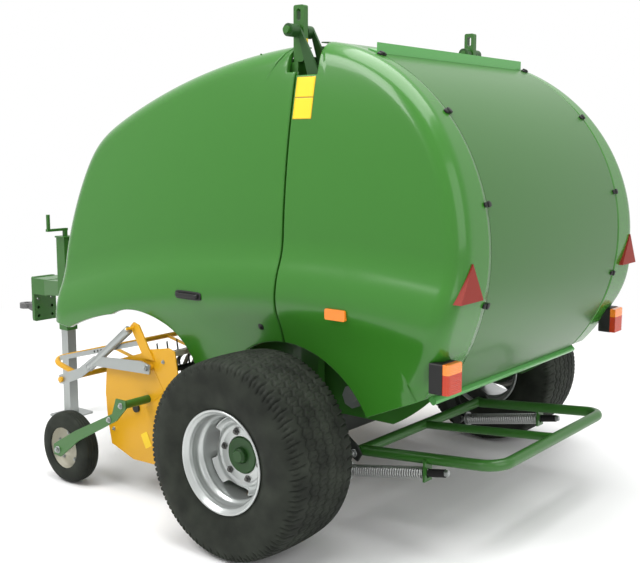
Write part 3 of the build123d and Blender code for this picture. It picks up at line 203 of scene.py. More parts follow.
finish = {
    "green": green_paint,
    "green_shell": green,
    "light_green": light_green,
    "yellow": yellow,
    "zinc": zinc,
    "dark_steel": dark_steel,
    "grey_cast": cast,
    "rim_grey": rim_grey,
    "cream": cream,
    "chrome": chrome,
    "tyre": tyre_black,
    "rubber": rubber,
    "black_plastic": black_plastic,
    "lens_red": lens_red,
    "reflector_red": reflector_red,
    "amber": amber,
}
for part in frame["record"]["subparts"]:
    shown = frame["nodes"][part["node"]]
    shown.data.materials.clear()
    shown.data.materials.append(finish[part["material_slot"]])
# Hubs inside the rims and hinges in the notch get the darkened green (painted shade); the stripper
# bands get cream.
for name, paint in (
    ("hub_left", shaded_green), ("hub_right", shaded_green), ("tailgate_hinges", shaded_green),
    ("stripper_bands", cream),
):
    frame["nodes"][name].data.materials[0] = paint


# Side covers and rear shells
# Moulded skins of reinforced plastic, 5 mm thick: hinged covers, and shells on the tailgate.
# The flank is one section along a 6 m arc; its outer edge is rolled over with an 80 mm radius.
crease_radius, crease_top, crease_y = 6.0, 1.335, 0.120
crease_z = crease_top - crease_radius
chamber_z, shell_radius = 1.290, 0.890
corner_radius, edge_radius = 0.080, 0.006
skin_wall, skin_flange = 0.005, 0.022
cover_inner_x, shell_inner_x = 0.595, 0.643
wheel_radius, arch_radius = 0.432, 0.442
seam_half, seam_foot = 0.005, 0.874
notch_front, notch_foot = 0.052, 2.045
rear_notch_back, rear_notch_foot = 0.120, 2.030
out_of_reach = 9.0
corner_rows, inner_rows, band_rows, flange_rows = 13, 26, 8, 3
sides = ((1, "left"), (-1, "right"))
cover_centre, shell_centre = np.array([-0.70, 1.30]), np.array([0.36, 1.36])


def arc(start, through, end, count):
    """Points on the circle through three points: centre c solves |p - c|^2 = R^2 for each."""
    p = np.array([start, through, end], float)
    m = 2 * (p[1:] - p[0])
    k = (p[1:] ** 2).sum(1) - (p[0] ** 2).sum()
    c = np.linalg.solve(m, k)
    radius = np.hypot(*(p[0] - c))
    a = np.unwrap([np.arctan2(q[1] - c[1], q[0] - c[0]) for q in p])
    t = np.linspace(a[0], a[2], count)
    return np.stack([c[0] + radius * np.cos(t), c[1] + radius * np.sin(t)], 1)


def line(start, end, count):
    """Evenly spaced points from start to end."""
    t = np.linspace(0.0, 1.0, count)[:, None]
    return np.array(start) * (1 - t) + np.array(end) * t


def tangent_arc(start, heading, end, count):
    """The arc that leaves start along heading and ends at end: its centre is on the normal."""
    start, end = np.array(start, float), np.array(end, float)
    heading = np.array(heading, float) / np.hypot(*heading)
    normal = np.array([-heading[1], heading[0]])
    chord = end - start
    radius = (chord @ chord) / (2 * chord @ normal)
    centre = start + radius * normal
    a0 = np.arctan2(*(start - centre)[::-1])
    a1 = np.arctan2(*(end - centre)[::-1])
    turn = (a1 - a0 + np.pi) % (2 * np.pi) - np.pi
    t = a0 + turn * np.linspace(0.0, 1.0, count)
    return centre + abs(radius) * np.stack([np.cos(t), np.sin(t)], 1)


low_run = line((0.790, 0.450), (0.860, 0.840), 20)
tuck = tangent_arc(low_run[-1], low_run[-1] - low_run[-2], (0.908, 0.985), 16)
swell = tangent_arc(tuck[-1], tuck[-1] - tuck[-2], (0.929, 1.110), 16)
bulge = tangent_arc(swell[-1], swell[-1] - swell[-2], (0.896, 1.230), 16)
crease = arc(bulge[-1], (0.879, 1.290), (0.872, 1.360), 12)
upper = arc(crease[-1], (0.838, 1.720), (0.706, 2.330), 60)
flank_section = np.concatenate([low_run, tuck[1:], swell[1:], bulge[1:], crease[1:], upper[1:]])


def flank_x(y, z):
    """Half width: x = S(crease_z + distance from the far crease axis), S being the section."""
    rho = np.hypot(y - crease_y, z - crease_z)
    return np.interp(crease_z + rho, flank_section[:, 1], flank_section[:, 0])


def rolled(depth, radius):
    """Fall of a quarter-round edge: radius - sqrt(radius^2 - (radius - depth)^2)."""
    left = np.clip(radius - depth, 0.0, radius)
    return radius - np.sqrt(radius**2 - left**2)


def put(name, points, faces, paint, body, smooth=True):
    """Makes a mesh object from arrays of points and quads and lets it ride on a body."""
    points = np.asarray(points, float).reshape(-1, 3)
    faces = np.asarray(faces, np.int32)
    mesh = bpy.data.meshes.new(name)
    mesh.vertices.add(len(points))
    mesh.vertices.foreach_set("co", points.ravel())
    mesh.loops.add(faces.size)
    mesh.loops.foreach_set("vertex_index", faces.ravel())
    mesh.polygons.add(len(faces))
    mesh.polygons.foreach_set("loop_start", np.arange(len(faces)) * faces.shape[1])
    mesh.polygons.foreach_set("loop_total", np.full(len(faces), faces.shape[1]))
    mesh.polygons.foreach_set("use_smooth", np.full(len(faces), smooth))
    mesh.update(calc_edges=True)
    mesh.validate()
    mesh.materials.append(paint)
    piece = bpy.data.objects.new(name, mesh)
    scene.collection.objects.link(piece)
    if body:
        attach(piece, body)
    return piece


def grid_faces(rows, columns, closed=False, flip=False, start=0):
    """Quads of a rows x columns grid of points; closed joins the last column to the first."""
    r = np.arange(rows - 1)[:, None]
    c = np.arange(columns if closed else columns - 1)[None, :]
    after = (c + 1) % columns
    quads = np.stack(
        [r * columns + c, r * columns + after, (r + 1) * columns + after, (r + 1) * columns + c],
        -1,
    ).reshape(-1, 4)
    return (quads[:, ::-1] if flip else quads) + start


def weld(piece, distance=1e-5):
    """Joins coincident points so that the shading runs on."""
    work = bmesh.new()
    work.from_mesh(piece.data)
    bmesh.ops.remove_doubles(work, verts=work.verts, dist=distance)
    bmesh.ops.recalc_face_normals(work, faces=work.faces)
    work.to_mesh(piece.data)
    work.free()


def held(points):
    """How many points a list of point arrays holds."""
    return sum(len(rows) for rows in points)


def put_joined(name, points, faces, paint, body, smooth=True, distance=1e-6):
    """Joins lists of points and quads into one welded piece."""
    piece = put(
        name, np.concatenate(points), np.concatenate(faces), paint, body, smooth
    )
    weld(piece, distance)
    return piece


def moulded_skin(outline, rounded, centre, inner_x, flange):
    """Skin over a closed outline (y, z): rows step in from it towards centre.

    At a boundary point B with inward normal distance n to the centre, row k lies at
    C + (B - C)(1 - d_k / n), d_k = r (1 - cos k); x = flank - rolled edge. The rounded part
    runs on as a band to inner_x, and the other edges turn in by a flange."""
    outer = outline[rounded]
    ahead = np.roll(outline, -1, 0) - np.roll(outline, 1, 0)
    normal = np.stack([ahead[:, 1], -ahead[:, 0]], 1)
    normal /= np.hypot(normal[:, 0], normal[:, 1])[:, None]
    reach = np.abs(((outline - centre) * normal).sum(1))
    radius = np.where(rounded, corner_radius, edge_radius)
    turn = np.linspace(0.0, np.pi / 2, corner_rows)
    near = radius[None, :] * (1 - np.cos(turn))[:, None]
    t_near = 1 - near / np.maximum(reach, corner_radius)[None, :]
    t_far = t_near[-1][None, :] * np.linspace(1.0, 0.0, inner_rows)[1:, None]
    t = np.concatenate([t_near, t_far])
    flat = centre + (outline - centre)[None, :, :] * t[:, :, None]
    y, z = flat[..., 0], flat[..., 1]
    to_edge = np.full(y.shape, out_of_reach)
    for p, q in zip(outer[:-1], outer[1:]):
        along = q - p
        f = ((y - p[0]) * along[0] + (z - p[1]) * along[1]) / (along @ along)
        f = np.clip(f, 0.0, 1.0)
        to_edge = np.minimum(
            to_edge, np.hypot(y - p[0] - f * along[0], z - p[1] - f * along[1])
        )
    depth = np.concatenate([near, np.full(t_far.shape, out_of_reach)])
    x = flank_x(y, z) - rolled(np.minimum(to_edge, corner_radius), corner_radius)
    small = rolled(np.minimum(depth, edge_radius), edge_radius)
    x = x - np.where(rounded[None, :], 0.0, small)
    count = len(outline)
    rows = t.shape[0]
    points = [np.stack([x, y, z], -1).reshape(-1, 3)]
    faces = [grid_faces(rows, count, closed=True)]
    start = rows * count
    band = np.flatnonzero(rounded)
    steps = np.linspace(0.0, 1.0, band_rows)[:, None]
    edge_x = x[0][band]
    band_x = edge_x[None, :] * (1 - steps) + inner_x * steps
    by = np.broadcast_to(outline[band, 0], band_x.shape)
    bz = np.broadcast_to(outline[band, 1], band_x.shape)
    points.append(np.stack([band_x, by, bz], -1).reshape(-1, 3))
    faces.append(grid_faces(band_rows, len(band), flip=True, start=start))
    start += band_rows * len(band)
    turned = np.flatnonzero(~rounded)
    turned = np.concatenate([[turned[0] - 1], turned, [(turned[-1] + 1) % count]])
    steps = np.linspace(0.0, 1.0, flange_rows)[:, None]
    turn_x = x[0][turned][None, :] - flange * steps
    ty = np.broadcast_to(outline[turned, 0], turn_x.shape)
    tz = np.broadcast_to(outline[turned, 1], turn_x.shape)
    points.append(np.stack([turn_x, ty, tz], -1).reshape(-1, 3))
    faces.append(grid_faces(flange_rows, len(turned), flip=True, start=start))
    return np.concatenate(points), np.concatenate(faces)


def wheel_arch(first, last, count):
    """Arc of the wheel's cut-out: p = R (cos a, sin a) about the axle, a from first to last."""
    turn = np.radians(np.linspace(first, last, count))
    return arch_radius * np.stack([np.cos(turn), np.sin(turn)], 1) + np.array([0.0, wheel_radius])


def shell_piece(name, points, faces, side, body, node):
    """One skin, mirrored for the right side, set on the body in place of its CAD node."""
    points = points * np.array([side, 1.0, 1.0]) + np.array([0.0, axle_y, 0.0])
    if side < 0:
        faces = faces[:, ::-1]
    piece = put(name, points, faces, green, body)
    weld(piece)
    wall = piece.modifiers.new("wall", "SOLIDIFY")
    wall.thickness = skin_wall
    wall.offset = -1.0
    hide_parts(node)


arch = wheel_arch(157.9, 90.7, 40)
roof = arc((-seam_half, 2.168), (-0.620, 2.072), (-1.352, 1.766), 70)
nose = arc((-1.352, 1.766), (-1.533, 1.300), (-1.600, 0.800), 60)
edge = np.concatenate([roof, nose[1:]])
run = np.concatenate([[0.0], np.cumsum(np.hypot(*np.diff(edge, axis=0).T))])
even = np.linspace(0.0, run[-1], 220)
edge = np.stack([np.interp(even, run, edge[:, 0]), np.interp(even, run, edge[:, 1])], 1)
# Roof and nose meet in a soft corner: each point is averaged with its neighbours, many times.
rounding_passes = 160
for _ in range(rounding_passes):
    edge[1:-1] = 0.25 * edge[:-2] + 0.5 * edge[1:-1] + 0.25 * edge[2:]
rest = np.concatenate(
    [
        line((-1.600, 0.800), (-1.459, 0.775), 10)[1:],
        arc((-1.459, 0.775), (-1.289, 0.840), (-1.105, 0.885), 24)[1:],
        arc((-1.105, 0.885), (-0.930, 0.925), (-0.760, 0.880), 24)[1:],
        arc((-0.760, 0.880), (-0.655, 0.800), (-0.590, 0.690), 16)[1:],
        line((-0.590, 0.690), (-0.560, 0.612), 6)[1:],
        line((-0.560, 0.612), (-0.410, 0.598), 10)[1:],
        arch[1:],
        line((-seam_half, seam_foot), (-seam_half, notch_foot), 60)[1:],
        line((-seam_half, notch_foot), (-notch_front, notch_foot), 6)[1:],
        line((-notch_front, notch_foot), (-notch_front, 2.166), 8)[1:],
    ]
)
first = np.searchsorted(-edge[:, 0], notch_front)
front_outline = np.concatenate([edge[first:], rest])
front_rounded = np.zeros(len(front_outline), bool)
front_rounded[: len(edge) - first] = True
for side, word in sides:
    points, faces = moulded_skin(
        front_outline, front_rounded, cover_centre, cover_inner_x, skin_flange
    )
    shell_piece(
        f"side_cover_skin_{word}", points, faces, side, f"cover_{word}", f"side_cover_{word}"
    )

turn = np.radians(np.linspace(82.25, -40.86, 150))
back = shell_radius * np.stack([np.cos(turn), np.sin(turn)], 1) + np.array([0.0, chamber_z])
rear_arch = wheel_arch(21.5, 89.3, 44)
rear_outline = np.concatenate(
    [
        back,
        line(back[-1], rear_arch[0], 20)[1:],
        rear_arch[1:],
        line((seam_half, seam_foot), (seam_half, rear_notch_foot), 60)[1:],
        line((seam_half, rear_notch_foot), (rear_notch_back, rear_notch_foot), 12)[1:],
        line((rear_notch_back, rear_notch_foot), back[0], 8)[1:-1],
    ]
)
rear_rounded = np.zeros(len(rear_outline), bool)
rear_rounded[: len(back)] = True
for side, word in sides:
    points, faces = moulded_skin(
        rear_outline, rear_rounded, shell_centre, shell_inner_x, skin_flange
    )
    shell_piece(f"rear_shell_skin_{word}", points, faces, side, "tailgate", f"rear_shell_{word}")


# Main tyres
# Wide low-pressure implement tyres: zigzag ribs round the crown, cut shoulders and plain sidewalls.
# Vulcanised rubber, fitted to the rims; the section is a spline, turned about the axle.
half_track = 1.096
shoulder_from, shoulder_to, block_from, block_to = 0.128, 0.209, 0.160, 0.199
groove_width, groove_depth, groove_swing = 0.0075, 0.009, 0.0075
cross_cut_half, cross_cut = 0.016, 0.004
shoulder_bow, shoulder_cut, shoulder_depth = 12.8, 0.0062, 0.008
block_cut, block_depth, block_soft = 0.0085, 0.007, 0.005


def spline(points, count):
    """Catmull-Rom curve: p(t) = 0.5 (2 p1 + (p2 - p0) t + (2 p0 - 5 p1 + 4 p2 - p3) t^2
    + (3 p1 - p0 - 3 p2 + p3) t^3)."""
    p = np.asarray(points, float)
    p = np.concatenate([[2 * p[0] - p[1]], p, [2 * p[-1] - p[-2]]])
    at = np.linspace(0.0, len(p) - 3 - 1e-9, count)
    k = at.astype(int)
    t = (at - k)[:, None]
    p0, p1, p2, p3 = p[k], p[k + 1], p[k + 2], p[k + 3]
    return 0.5 * (
        2 * p1 + (p2 - p0) * t + (2 * p0 - 5 * p1 + 4 * p2 - p3) * t**2
        + (3 * p1 - p0 - 3 * p2 + p3) * t**3
    )


def both_halves(half, skip=0):
    """A half profile of (x, radius) and its mirror image, whose first skip points are left out."""
    return np.concatenate([half, (half * np.array([-1, 1]))[::-1][skip:]])


def ring_faces(around, columns):
    """Quads between the profiles of a turned form, each of that many points."""
    i = np.arange(around)[:, None]
    j = np.arange(columns - 1)[None, :]
    after = (i + 1) % around
    return np.stack(
        [i * columns + j, i * columns + j + 1, after * columns + j + 1, after * columns + j], -1
    ).reshape(-1, 4)


def respace(path, count):
    """The same curve with evenly spaced points."""
    gone = np.concatenate([[0.0], np.cumsum(np.linalg.norm(np.diff(path, axis=0), axis=1))])
    even = np.linspace(0.0, gone[-1], count)
    return np.stack([np.interp(even, gone, path[:, k]) for k in range(path.shape[1])], 1)


def trench(distance, width, depth, soft=0.003):
    """Depth of a groove of that width whose sides slope over soft."""
    return depth * np.clip((width / 2 - np.abs(distance)) / soft + 0.5, 0.0, 1.0)


def between(value, start, end, rise=0.006, fall=0.004):
    """1 from start to end, with slopes of the given widths just inside them."""
    return np.clip((value - start) / rise, 0.0, 1.0) * np.clip((end - value) / fall, 0.0, 1.0)


def zigzag(phase):
    """Triangle wave from -1 to 1, one period for each unit of phase."""
    return 4 * np.abs((phase % 1.0) - 0.5) - 1


half_section = np.array(
    [
        (0.160, 0.2045), (0.168, 0.2050), (0.1725, 0.222), (0.1745, 0.229), (0.180, 0.244),
        (0.1815, 0.247), (0.188, 0.272), (0.1935, 0.302), (0.1955, 0.332), (0.193, 0.364),
        (0.187, 0.389), (0.1845, 0.395), (0.1850, 0.400), (0.181, 0.411), (0.172, 0.4190),
        (0.150, 0.4242), (0.100, 0.4290), (0.050, 0.4312), (0.0, 0.4318),
    ]
)
half = respace(spline(half_section, 400), 56)
section = both_halves(half, 1)
pitches, around = 58, 696
theta = np.linspace(0.0, 2 * np.pi, around, endpoint=False)
phase = (theta * pitches / (2 * np.pi))[:, None]
step = np.diff(section, axis=0)
gone = np.concatenate([[0.0], np.cumsum(np.hypot(step[:, 0], step[:, 1]))])
across = gone[-1] / 2 - gone[None, :]
side_of = np.sign(across)
outward = np.gradient(section, axis=0)
outward = np.stack([-outward[:, 1], outward[:, 0]], 1)
outward /= np.hypot(outward[:, 0], outward[:, 1])[:, None]
outward *= np.sign((outward * (section - np.array([0.0, 0.30]))).sum(1))[:, None]
pitch = 2 * np.pi * wheel_radius / pitches
cut = np.zeros((around, len(section)))
# Five zigzag grooves round the crown, and short cross cuts in the ribs between them
for place, lag in ((-0.104, 0.0), (-0.054, 0.5), (0.0, 0.0), (0.054, 0.5), (0.104, 0.0)):
    away = across - place - groove_swing * zigzag(phase + lag)
    cut = np.maximum(cut, trench(away, groove_width, groove_depth))
for place, lag in ((-0.079, 0.2), (-0.027, 0.7), (0.027, 0.2), (0.079, 0.7)):
    near = np.clip((cross_cut_half - np.abs(across - place)) / 0.004, 0.0, 1.0)
    off = ((phase * 2 + lag + 6 * (across - place)) % 1.0 - 0.5) * pitch / 2
    cut = np.maximum(cut, near * trench(off, cross_cut, cross_cut, cross_cut))
reach = np.abs(across)
# Bowed cuts over the shoulders, and half a pitch on from each a wider and shorter one
bow = shoulder_bow * np.clip(reach - shoulder_from, 0.0, 1.0) ** 1.5 * side_of
off = ((phase + bow) % 1.0 - 0.5) * pitch
near = between(reach, shoulder_from, shoulder_to)
cut = np.maximum(cut, near * trench(off, shoulder_cut, shoulder_depth))
off = ((phase + bow + 0.5) % 1.0 - 0.5) * pitch
near = between(reach, block_from, block_to)
cut = np.maximum(cut, near * trench(off, block_cut, block_depth, block_soft))
x = section[None, :, 0] - cut * outward[None, :, 0]
r = section[None, :, 1] - cut * outward[None, :, 1]
tyre_points = np.stack(
    [x, r * np.cos(theta)[:, None], r * np.sin(theta)[:, None] + wheel_radius], -1
).reshape(-1, 3)
tyre_faces = ring_faces(around, len(section))

rubber_tread = material("tyre_rubber", (0.020, 0.022, 0.018), 0.7, specular=0.18)
nodes, links = rubber_tread.node_tree.nodes, rubber_tread.node_tree.links
place = nodes.new("ShaderNodeTexCoord")
grain = nodes.new("ShaderNodeTexNoise")
grain.inputs["Scale"].default_value = 9.0
grain.inputs["Detail"].default_value = 8.0
tint = nodes.new("ShaderNodeValToRGB")
tint.color_ramp.elements[0].position = 0.35
tint.color_ramp.elements[0].color = (0.009, 0.011, 0.008, 1.0)
tint.color_ramp.elements[1].position = 0.75
tint.color_ramp.elements[1].color = (0.026, 0.031, 0.023, 1.0)
links.new(place.outputs["Object"], grain.inputs["Vector"])
links.new(grain.outputs["Fac"], tint.inputs["Fac"])
links.new(tint.outputs["Color"], nodes["Principled BSDF"].inputs["Base Color"])

for side, word in sides:
    moved = tyre_points + np.array([side * half_track, axle_y, 0.0])
    tyre = put(f"tyre_tread_{word}", moved, tyre_faces, rubber_tread, f"wheel_{word}")
    weld(tyre, 1e-7)
    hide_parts(f"tyre_{word}")


# Rims, hubs and wheel nuts
# Deep-dished steel rims, painted silver, with a disc cut away in four places at its edge.
# Six nuts hold the disc to the green hub, whose grease cap stands out of the middle.
def turned(profile, around, centre, side):
    """Profile of (x, r) turned about X through centre: p = c + (x, r cos a, r sin a)."""
    angle = np.linspace(0.0, 2 * np.pi, around, endpoint=False)
    points = np.stack(
        [
            np.broadcast_to(side * profile[None, :, 0], (around, len(profile))),
            profile[None, :, 1] * np.cos(angle)[:, None],
            profile[None, :, 1] * np.sin(angle)[:, None],
        ],
        -1,
    ).reshape(-1, 3) + centre
    faces = ring_faces(around, len(profile))
    return points, faces if side > 0 else faces[:, ::-1]


inner_run = both_halves(
    np.array(
        [
            (0.178, 0.2235), (0.1815, 0.2225), (0.1828, 0.2190), (0.1815, 0.2145),
            (0.1760, 0.2110), (0.1700, 0.2060), (0.1670, 0.2005), (0.1600, 0.1975),
            (0.1530, 0.1965), (0.1495, 0.1940), (0.1460, 0.1940), (0.1420, 0.1965),
            (0.1280, 0.1955), (0.1160, 0.1930), (0.1080, 0.1870), (0.1030, 0.1800),
            (0.0980, 0.1772), (0.0850, 0.1770),
        ]
    )
)
outer_run = both_halves(
    np.array(
        [
            (0.1755, 0.2230), (0.1715, 0.2150), (0.1700, 0.2095), (0.1670, 0.2030),
            (0.1500, 0.2025), (0.1120, 0.1990), (0.1040, 0.1900), (0.0980, 0.1830),
        ]
    )
)
barrel_profile = np.concatenate([inner_run, outer_run[::-1], inner_run[:1]])
silver = material("rim_silver", (0.44, 0.46, 0.45), 0.30, metal=0.65, coat=0.2)
dark_zinc = material("dark_zinc", (0.10, 0.10, 0.095), 0.4, metal=0.7)


def disc_grid(rows, around, hole_angles, inner_radius, outer_radius, hole_half, hole_depth):
    """Disc on polar rows; across a hole of half angle A its outer radius is
    R - D (1 - (a / A)^4)^0.5."""
    angle = np.linspace(0.0, 2 * np.pi, around, endpoint=False)
    edge = np.full(around, outer_radius)
    for middle in hole_angles:
        off = (np.degrees(angle) - middle + 180) % 360 - 180
        share = np.clip(1 - (np.abs(off) / hole_half) ** 4, 0.0, 1.0)
        edge = edge - hole_depth * np.sqrt(share)
    t = np.linspace(0.0, 1.0, rows)[:, None]
    radius = inner_radius + (edge[None, :] - inner_radius) * t
    return angle, radius


washer_share, corner_share, stud_share, washer_thick = 0.78, 0.577, 0.30, 0.003


def ring_bolt(points, faces, place, side, flats, height, stud=0.0):
    """A hexagon nut on a round washer, with the stud's end: prisms along X."""
    base = held(points)
    for radius, start, end, corners in (
        (flats * washer_share, 0.0, washer_thick, 20),
        (flats * corner_share, washer_thick, height, 6),
        (flats * stud_share, height, height + stud, 12),
    ):
        if end <= start:
            continue
        around = np.linspace(0.0, 2 * np.pi, corners, endpoint=False)
        soft = min(0.0015, (end - start) * 0.3)
        rows = [
            (0.0, start), (radius, start), (radius, end - soft), (radius - soft, end), (0.0, end),
        ]
        prism = np.array(
            [
                (side * x, r * np.cos(a), r * np.sin(a))
                for r, x in rows
                for a in around
            ]
        ) + np.asarray(place)
        points.append(prism)
        faces.append(grid_faces(len(rows), corners, closed=True, flip=side > 0, start=base))
        base += len(prism)


rim_holes = (170.0, 80.0, -10.0, -100.0)
disc_rows, disc_around, disc_wall = 26, 384, 0.009
disc_bore, disc_radius, hole_half_angle, hole_reach = 0.0812, 0.1768, 25.0, 0.036
dish_x, dish_from, dish_run, dish_rise = 0.0362, 0.150, 0.027, 0.020
bead_radius, bead_width, bead_rise = 0.128, 0.006, 0.004
nut_circle, nut_count = 0.1025, 6
nut_foot, nut_flats, nut_height, nut_stud = 0.0365, 0.027, 0.016, 0.009
for side, word in sides:
    centre = np.array([side * half_track, axle_y, wheel_radius])
    points, faces = turned(barrel_profile, 192, centre, side)
    barrel = put(f"rim_barrel_{word}", points, faces, silver, f"wheel_{word}")
    weld(barrel, 1e-7)
    angle, radius = disc_grid(
        disc_rows, disc_around, rim_holes, disc_bore, disc_radius, hole_half_angle, hole_reach
    )
    # Its edge is dished outwards, and a pressed bead exp(-((r - R) / W)^2) runs round it
    raised = np.clip((radius - dish_from) / dish_run, 0.0, 1.0)
    x = dish_x + dish_rise * raised**1.6
    x = x + bead_rise * np.exp(-(((radius - bead_radius) / bead_width) ** 2))
    points = np.stack(
        [side * x, radius * np.cos(angle)[None, :], radius * np.sin(angle)[None, :]], -1
    ).reshape(-1, 3) + centre
    faces = grid_faces(disc_rows, disc_around, closed=True, flip=True)
    disc = put(f"rim_disc_{word}", points, faces, silver, f"wheel_{word}")
    weld(disc, 1e-7)
    wall = disc.modifiers.new("wall", "SOLIDIFY")
    wall.thickness = disc_wall
    wall.offset = -1.0
    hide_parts(f"rim_{word}")
    points, faces = [], []
    for k in range(nut_count):
        at = np.radians(168 - 360 / nut_count * k)
        place = centre + np.array(
            [side * nut_foot, nut_circle * np.cos(at), nut_circle * np.sin(at)]
        )
        ring_bolt(points, faces, place, side, nut_flats, nut_height, nut_stud)
    put_joined(
        f"wheel_nuts_{word}", points, faces, dark_zinc, f"wheel_{word}", False, 1e-7
    )


# Gauge wheels of the pick-up
# Small ribbed implement tyres on two-part pressed steel rims, painted cream.
# The rim halves are bolted together round the hub tube, which turns on the arm's axle pin.
gauge_x, gauge_y, gauge_radius = 1.034, -1.318, 0.185
gauge_bolt_circle, gauge_bolt_count = 0.075, 5
gauge_bolt_foot, gauge_bolt_flats, gauge_bolt_height = 0.0085, 0.013, 0.009
gauge_half_section = np.array(
    [
        (0.0385, 0.1085), (0.0455, 0.1060), (0.0475, 0.1080), (0.0480, 0.1150), (0.0488, 0.1300),
        (0.0485, 0.1450), (0.0470, 0.1580), (0.0430, 0.1680), (0.0385, 0.1760), (0.0300, 0.1815),
        (0.0270, 0.1825), (0.0262, 0.1775), (0.0225, 0.1775), (0.0215, 0.1835), (0.0110, 0.1848),
        (0.0100, 0.1795), (0.0060, 0.1795), (0.0050, 0.1850), (0.0, 0.1850),
    ]
)
gauge_section = both_halves(gauge_half_section, 1)
gauge_rim_run = both_halves(
    np.array(
        [
            (-0.036, 0.1278), (-0.040, 0.1310), (-0.0435, 0.1318), (-0.0450, 0.1295),
            (-0.0440, 0.1260), (-0.0400, 0.1225), (-0.0380, 0.1150), (-0.0360, 0.1125),
            (-0.0150, 0.1080), (-0.0080, 0.1020), (-0.0060, 0.0900), (-0.0080, 0.0640),
            (-0.0170, 0.0480), (-0.0240, 0.0440), (-0.0260, 0.0330), (-0.0280, 0.0290),
            (-0.0500, 0.0280), (-0.0510, 0.0270), (-0.0510, 0.0126),
        ]
    )
)
gauge_rim_section = np.concatenate([gauge_rim_run, gauge_rim_run[:1]])
for side, word in sides:
    centre = np.array([side * gauge_x, axle_y + gauge_y, gauge_radius])
    points, faces = turned(gauge_section, 160, centre, side)
    tyre = put(f"gauge_tread_{word}", points, faces, rubber_tread, f"gauge_wheel_{word}")
    weld(tyre, 1e-7)
    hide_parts(f"gauge_tyre_{word}")
    points, faces = turned(gauge_rim_section, 128, centre, side)
    pressed = put(f"gauge_disc_{word}", points, faces, cream, f"gauge_wheel_{word}")
    weld(pressed, 1e-7)
    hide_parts(f"gauge_rim_{word}")
    points, faces = [], []
    for k in range(gauge_bolt_count):
        at = np.radians(90 + 360 / gauge_bolt_count * k)
        across, up = gauge_bolt_circle * np.cos(at), gauge_bolt_circle * np.sin(at)
        for face in (1, -1):
            place = centre + np.array([side * face * gauge_bolt_foot, across, up])
            ring_bolt(points, faces, place, side * face, gauge_bolt_flats, gauge_bolt_height)
    put_joined(
        f"gauge_bolts_{word}", points, faces, zinc, f"gauge_wheel_{word}", False, 1e-7
    )


# Coil springs of the bale ramp
# Wound spring-steel wire round each rod, pressed between a washer and the plate of the ramp.
# The helix is flattened at both ends; it keeps one length, where the real one shortens along the
# rod as the ramp goes down.
eye_y, eye_z, hole_y, hole_z, rod_x = 0.070, 0.222, 0.550, 0.311, 0.547
rod_length = math.hypot(hole_y - eye_y, hole_z - eye_z)
rod_dir = np.array([0.0, (hole_y - eye_y) / rod_length, (hole_z - eye_z) / rod_length])
rod_up = np.array([0.0, -rod_dir[2], rod_dir[1]])


def coil(start, end, ring, wire, turns, steps, corners):
    """Round wire along the helix p = h(s) d + ring (cos t u + sin t v), t = 2 pi turns s.

    Its height h rises evenly, and stays level over the first and last 1.2 turns."""
    s = np.linspace(0.0, 1.0, turns * steps + 1)
    soft = 1.2 / turns
    rise = np.clip((s - soft) / (1 - 2 * soft), 0.0, 1.0)
    along = start + wire + (end - start - 2 * wire) * rise
    turn = 2 * np.pi * turns * s
    points = []
    for k in range(corners):
        around = 2 * np.pi * k / corners
        reach = ring + wire * np.cos(around)
        points.append(
            np.stack(
                [reach * np.cos(turn), along + wire * np.sin(around), reach * np.sin(turn)], -1
            )
        )
    return np.stack(points, 1).reshape(-1, 3), grid_faces(len(s), corners, closed=True, flip=True)


spring_steel = material("spring_steel", (0.42, 0.43, 0.42), 0.30, metal=0.85)
spring_foot, head_gap, coil_radius, wire_radius = 0.058, 0.0115, 0.024, 0.0052
coil_turns, turn_steps, wire_corners = 34, 22, 8
local, coil_faces = coil(
    spring_foot, rod_length - head_gap, coil_radius, wire_radius, coil_turns, turn_steps,
    wire_corners,
)
for side, word in sides:
    eye = np.array([side * rod_x, axle_y + eye_y, eye_z])
    points = (
        eye
        + local[:, :1] * np.array([side, 0.0, 0.0])
        + local[:, 1:2] * rod_dir
        + local[:, 2:] * rod_up
    )
    spring = put(
        f"ramp_spring_{word}", points, coil_faces if side > 0 else coil_faces[:, ::-1],
        spring_steel, "ramp_links",
    )
    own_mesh(spring)
    if side > 0:
        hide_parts("ramp_springs")


# Fittings of the covers
# Rubber latches over the seams, the cover's pull handle and round lock, and blank warning plates.
# The latches are screwed to the shells; the plates are printed foil without any lettering here.
def block(points, faces, centre, across, up, out, size, soft):
    """A box with rounded corners, p = (a C(v) C(w), b C(v) S(w), c S(v)) / 2 on its own axes.

    C and S are cosine and sine with their sizes raised to soft: near 0 is square, 1 is round."""
    base = held(points)
    rows, columns = 13, 24
    v = np.linspace(-np.pi / 2, np.pi / 2, rows)[:, None]
    w = np.linspace(0.0, 2 * np.pi, columns, endpoint=False)[None, :]

    def power(value):
        return np.sign(value) * np.abs(value) ** soft

    a = size[0] / 2 * power(np.cos(v)) * power(np.cos(w))
    b = size[1] / 2 * power(np.cos(v)) * power(np.sin(w))
    c = size[2] / 2 * power(np.sin(v)) * np.ones_like(w)
    across, up, out = (np.asarray(d, float) / np.linalg.norm(d) for d in (across, up, out))
    made = (
        np.asarray(centre)
        + a[..., None] * across
        + b[..., None] * up
        + c[..., None] * out
    ).reshape(-1, 3)
    turn = np.dot(np.cross(across, up), out) > 0
    points.append(made)
    faces.append(grid_faces(rows, columns, closed=True, flip=not turn, start=base))


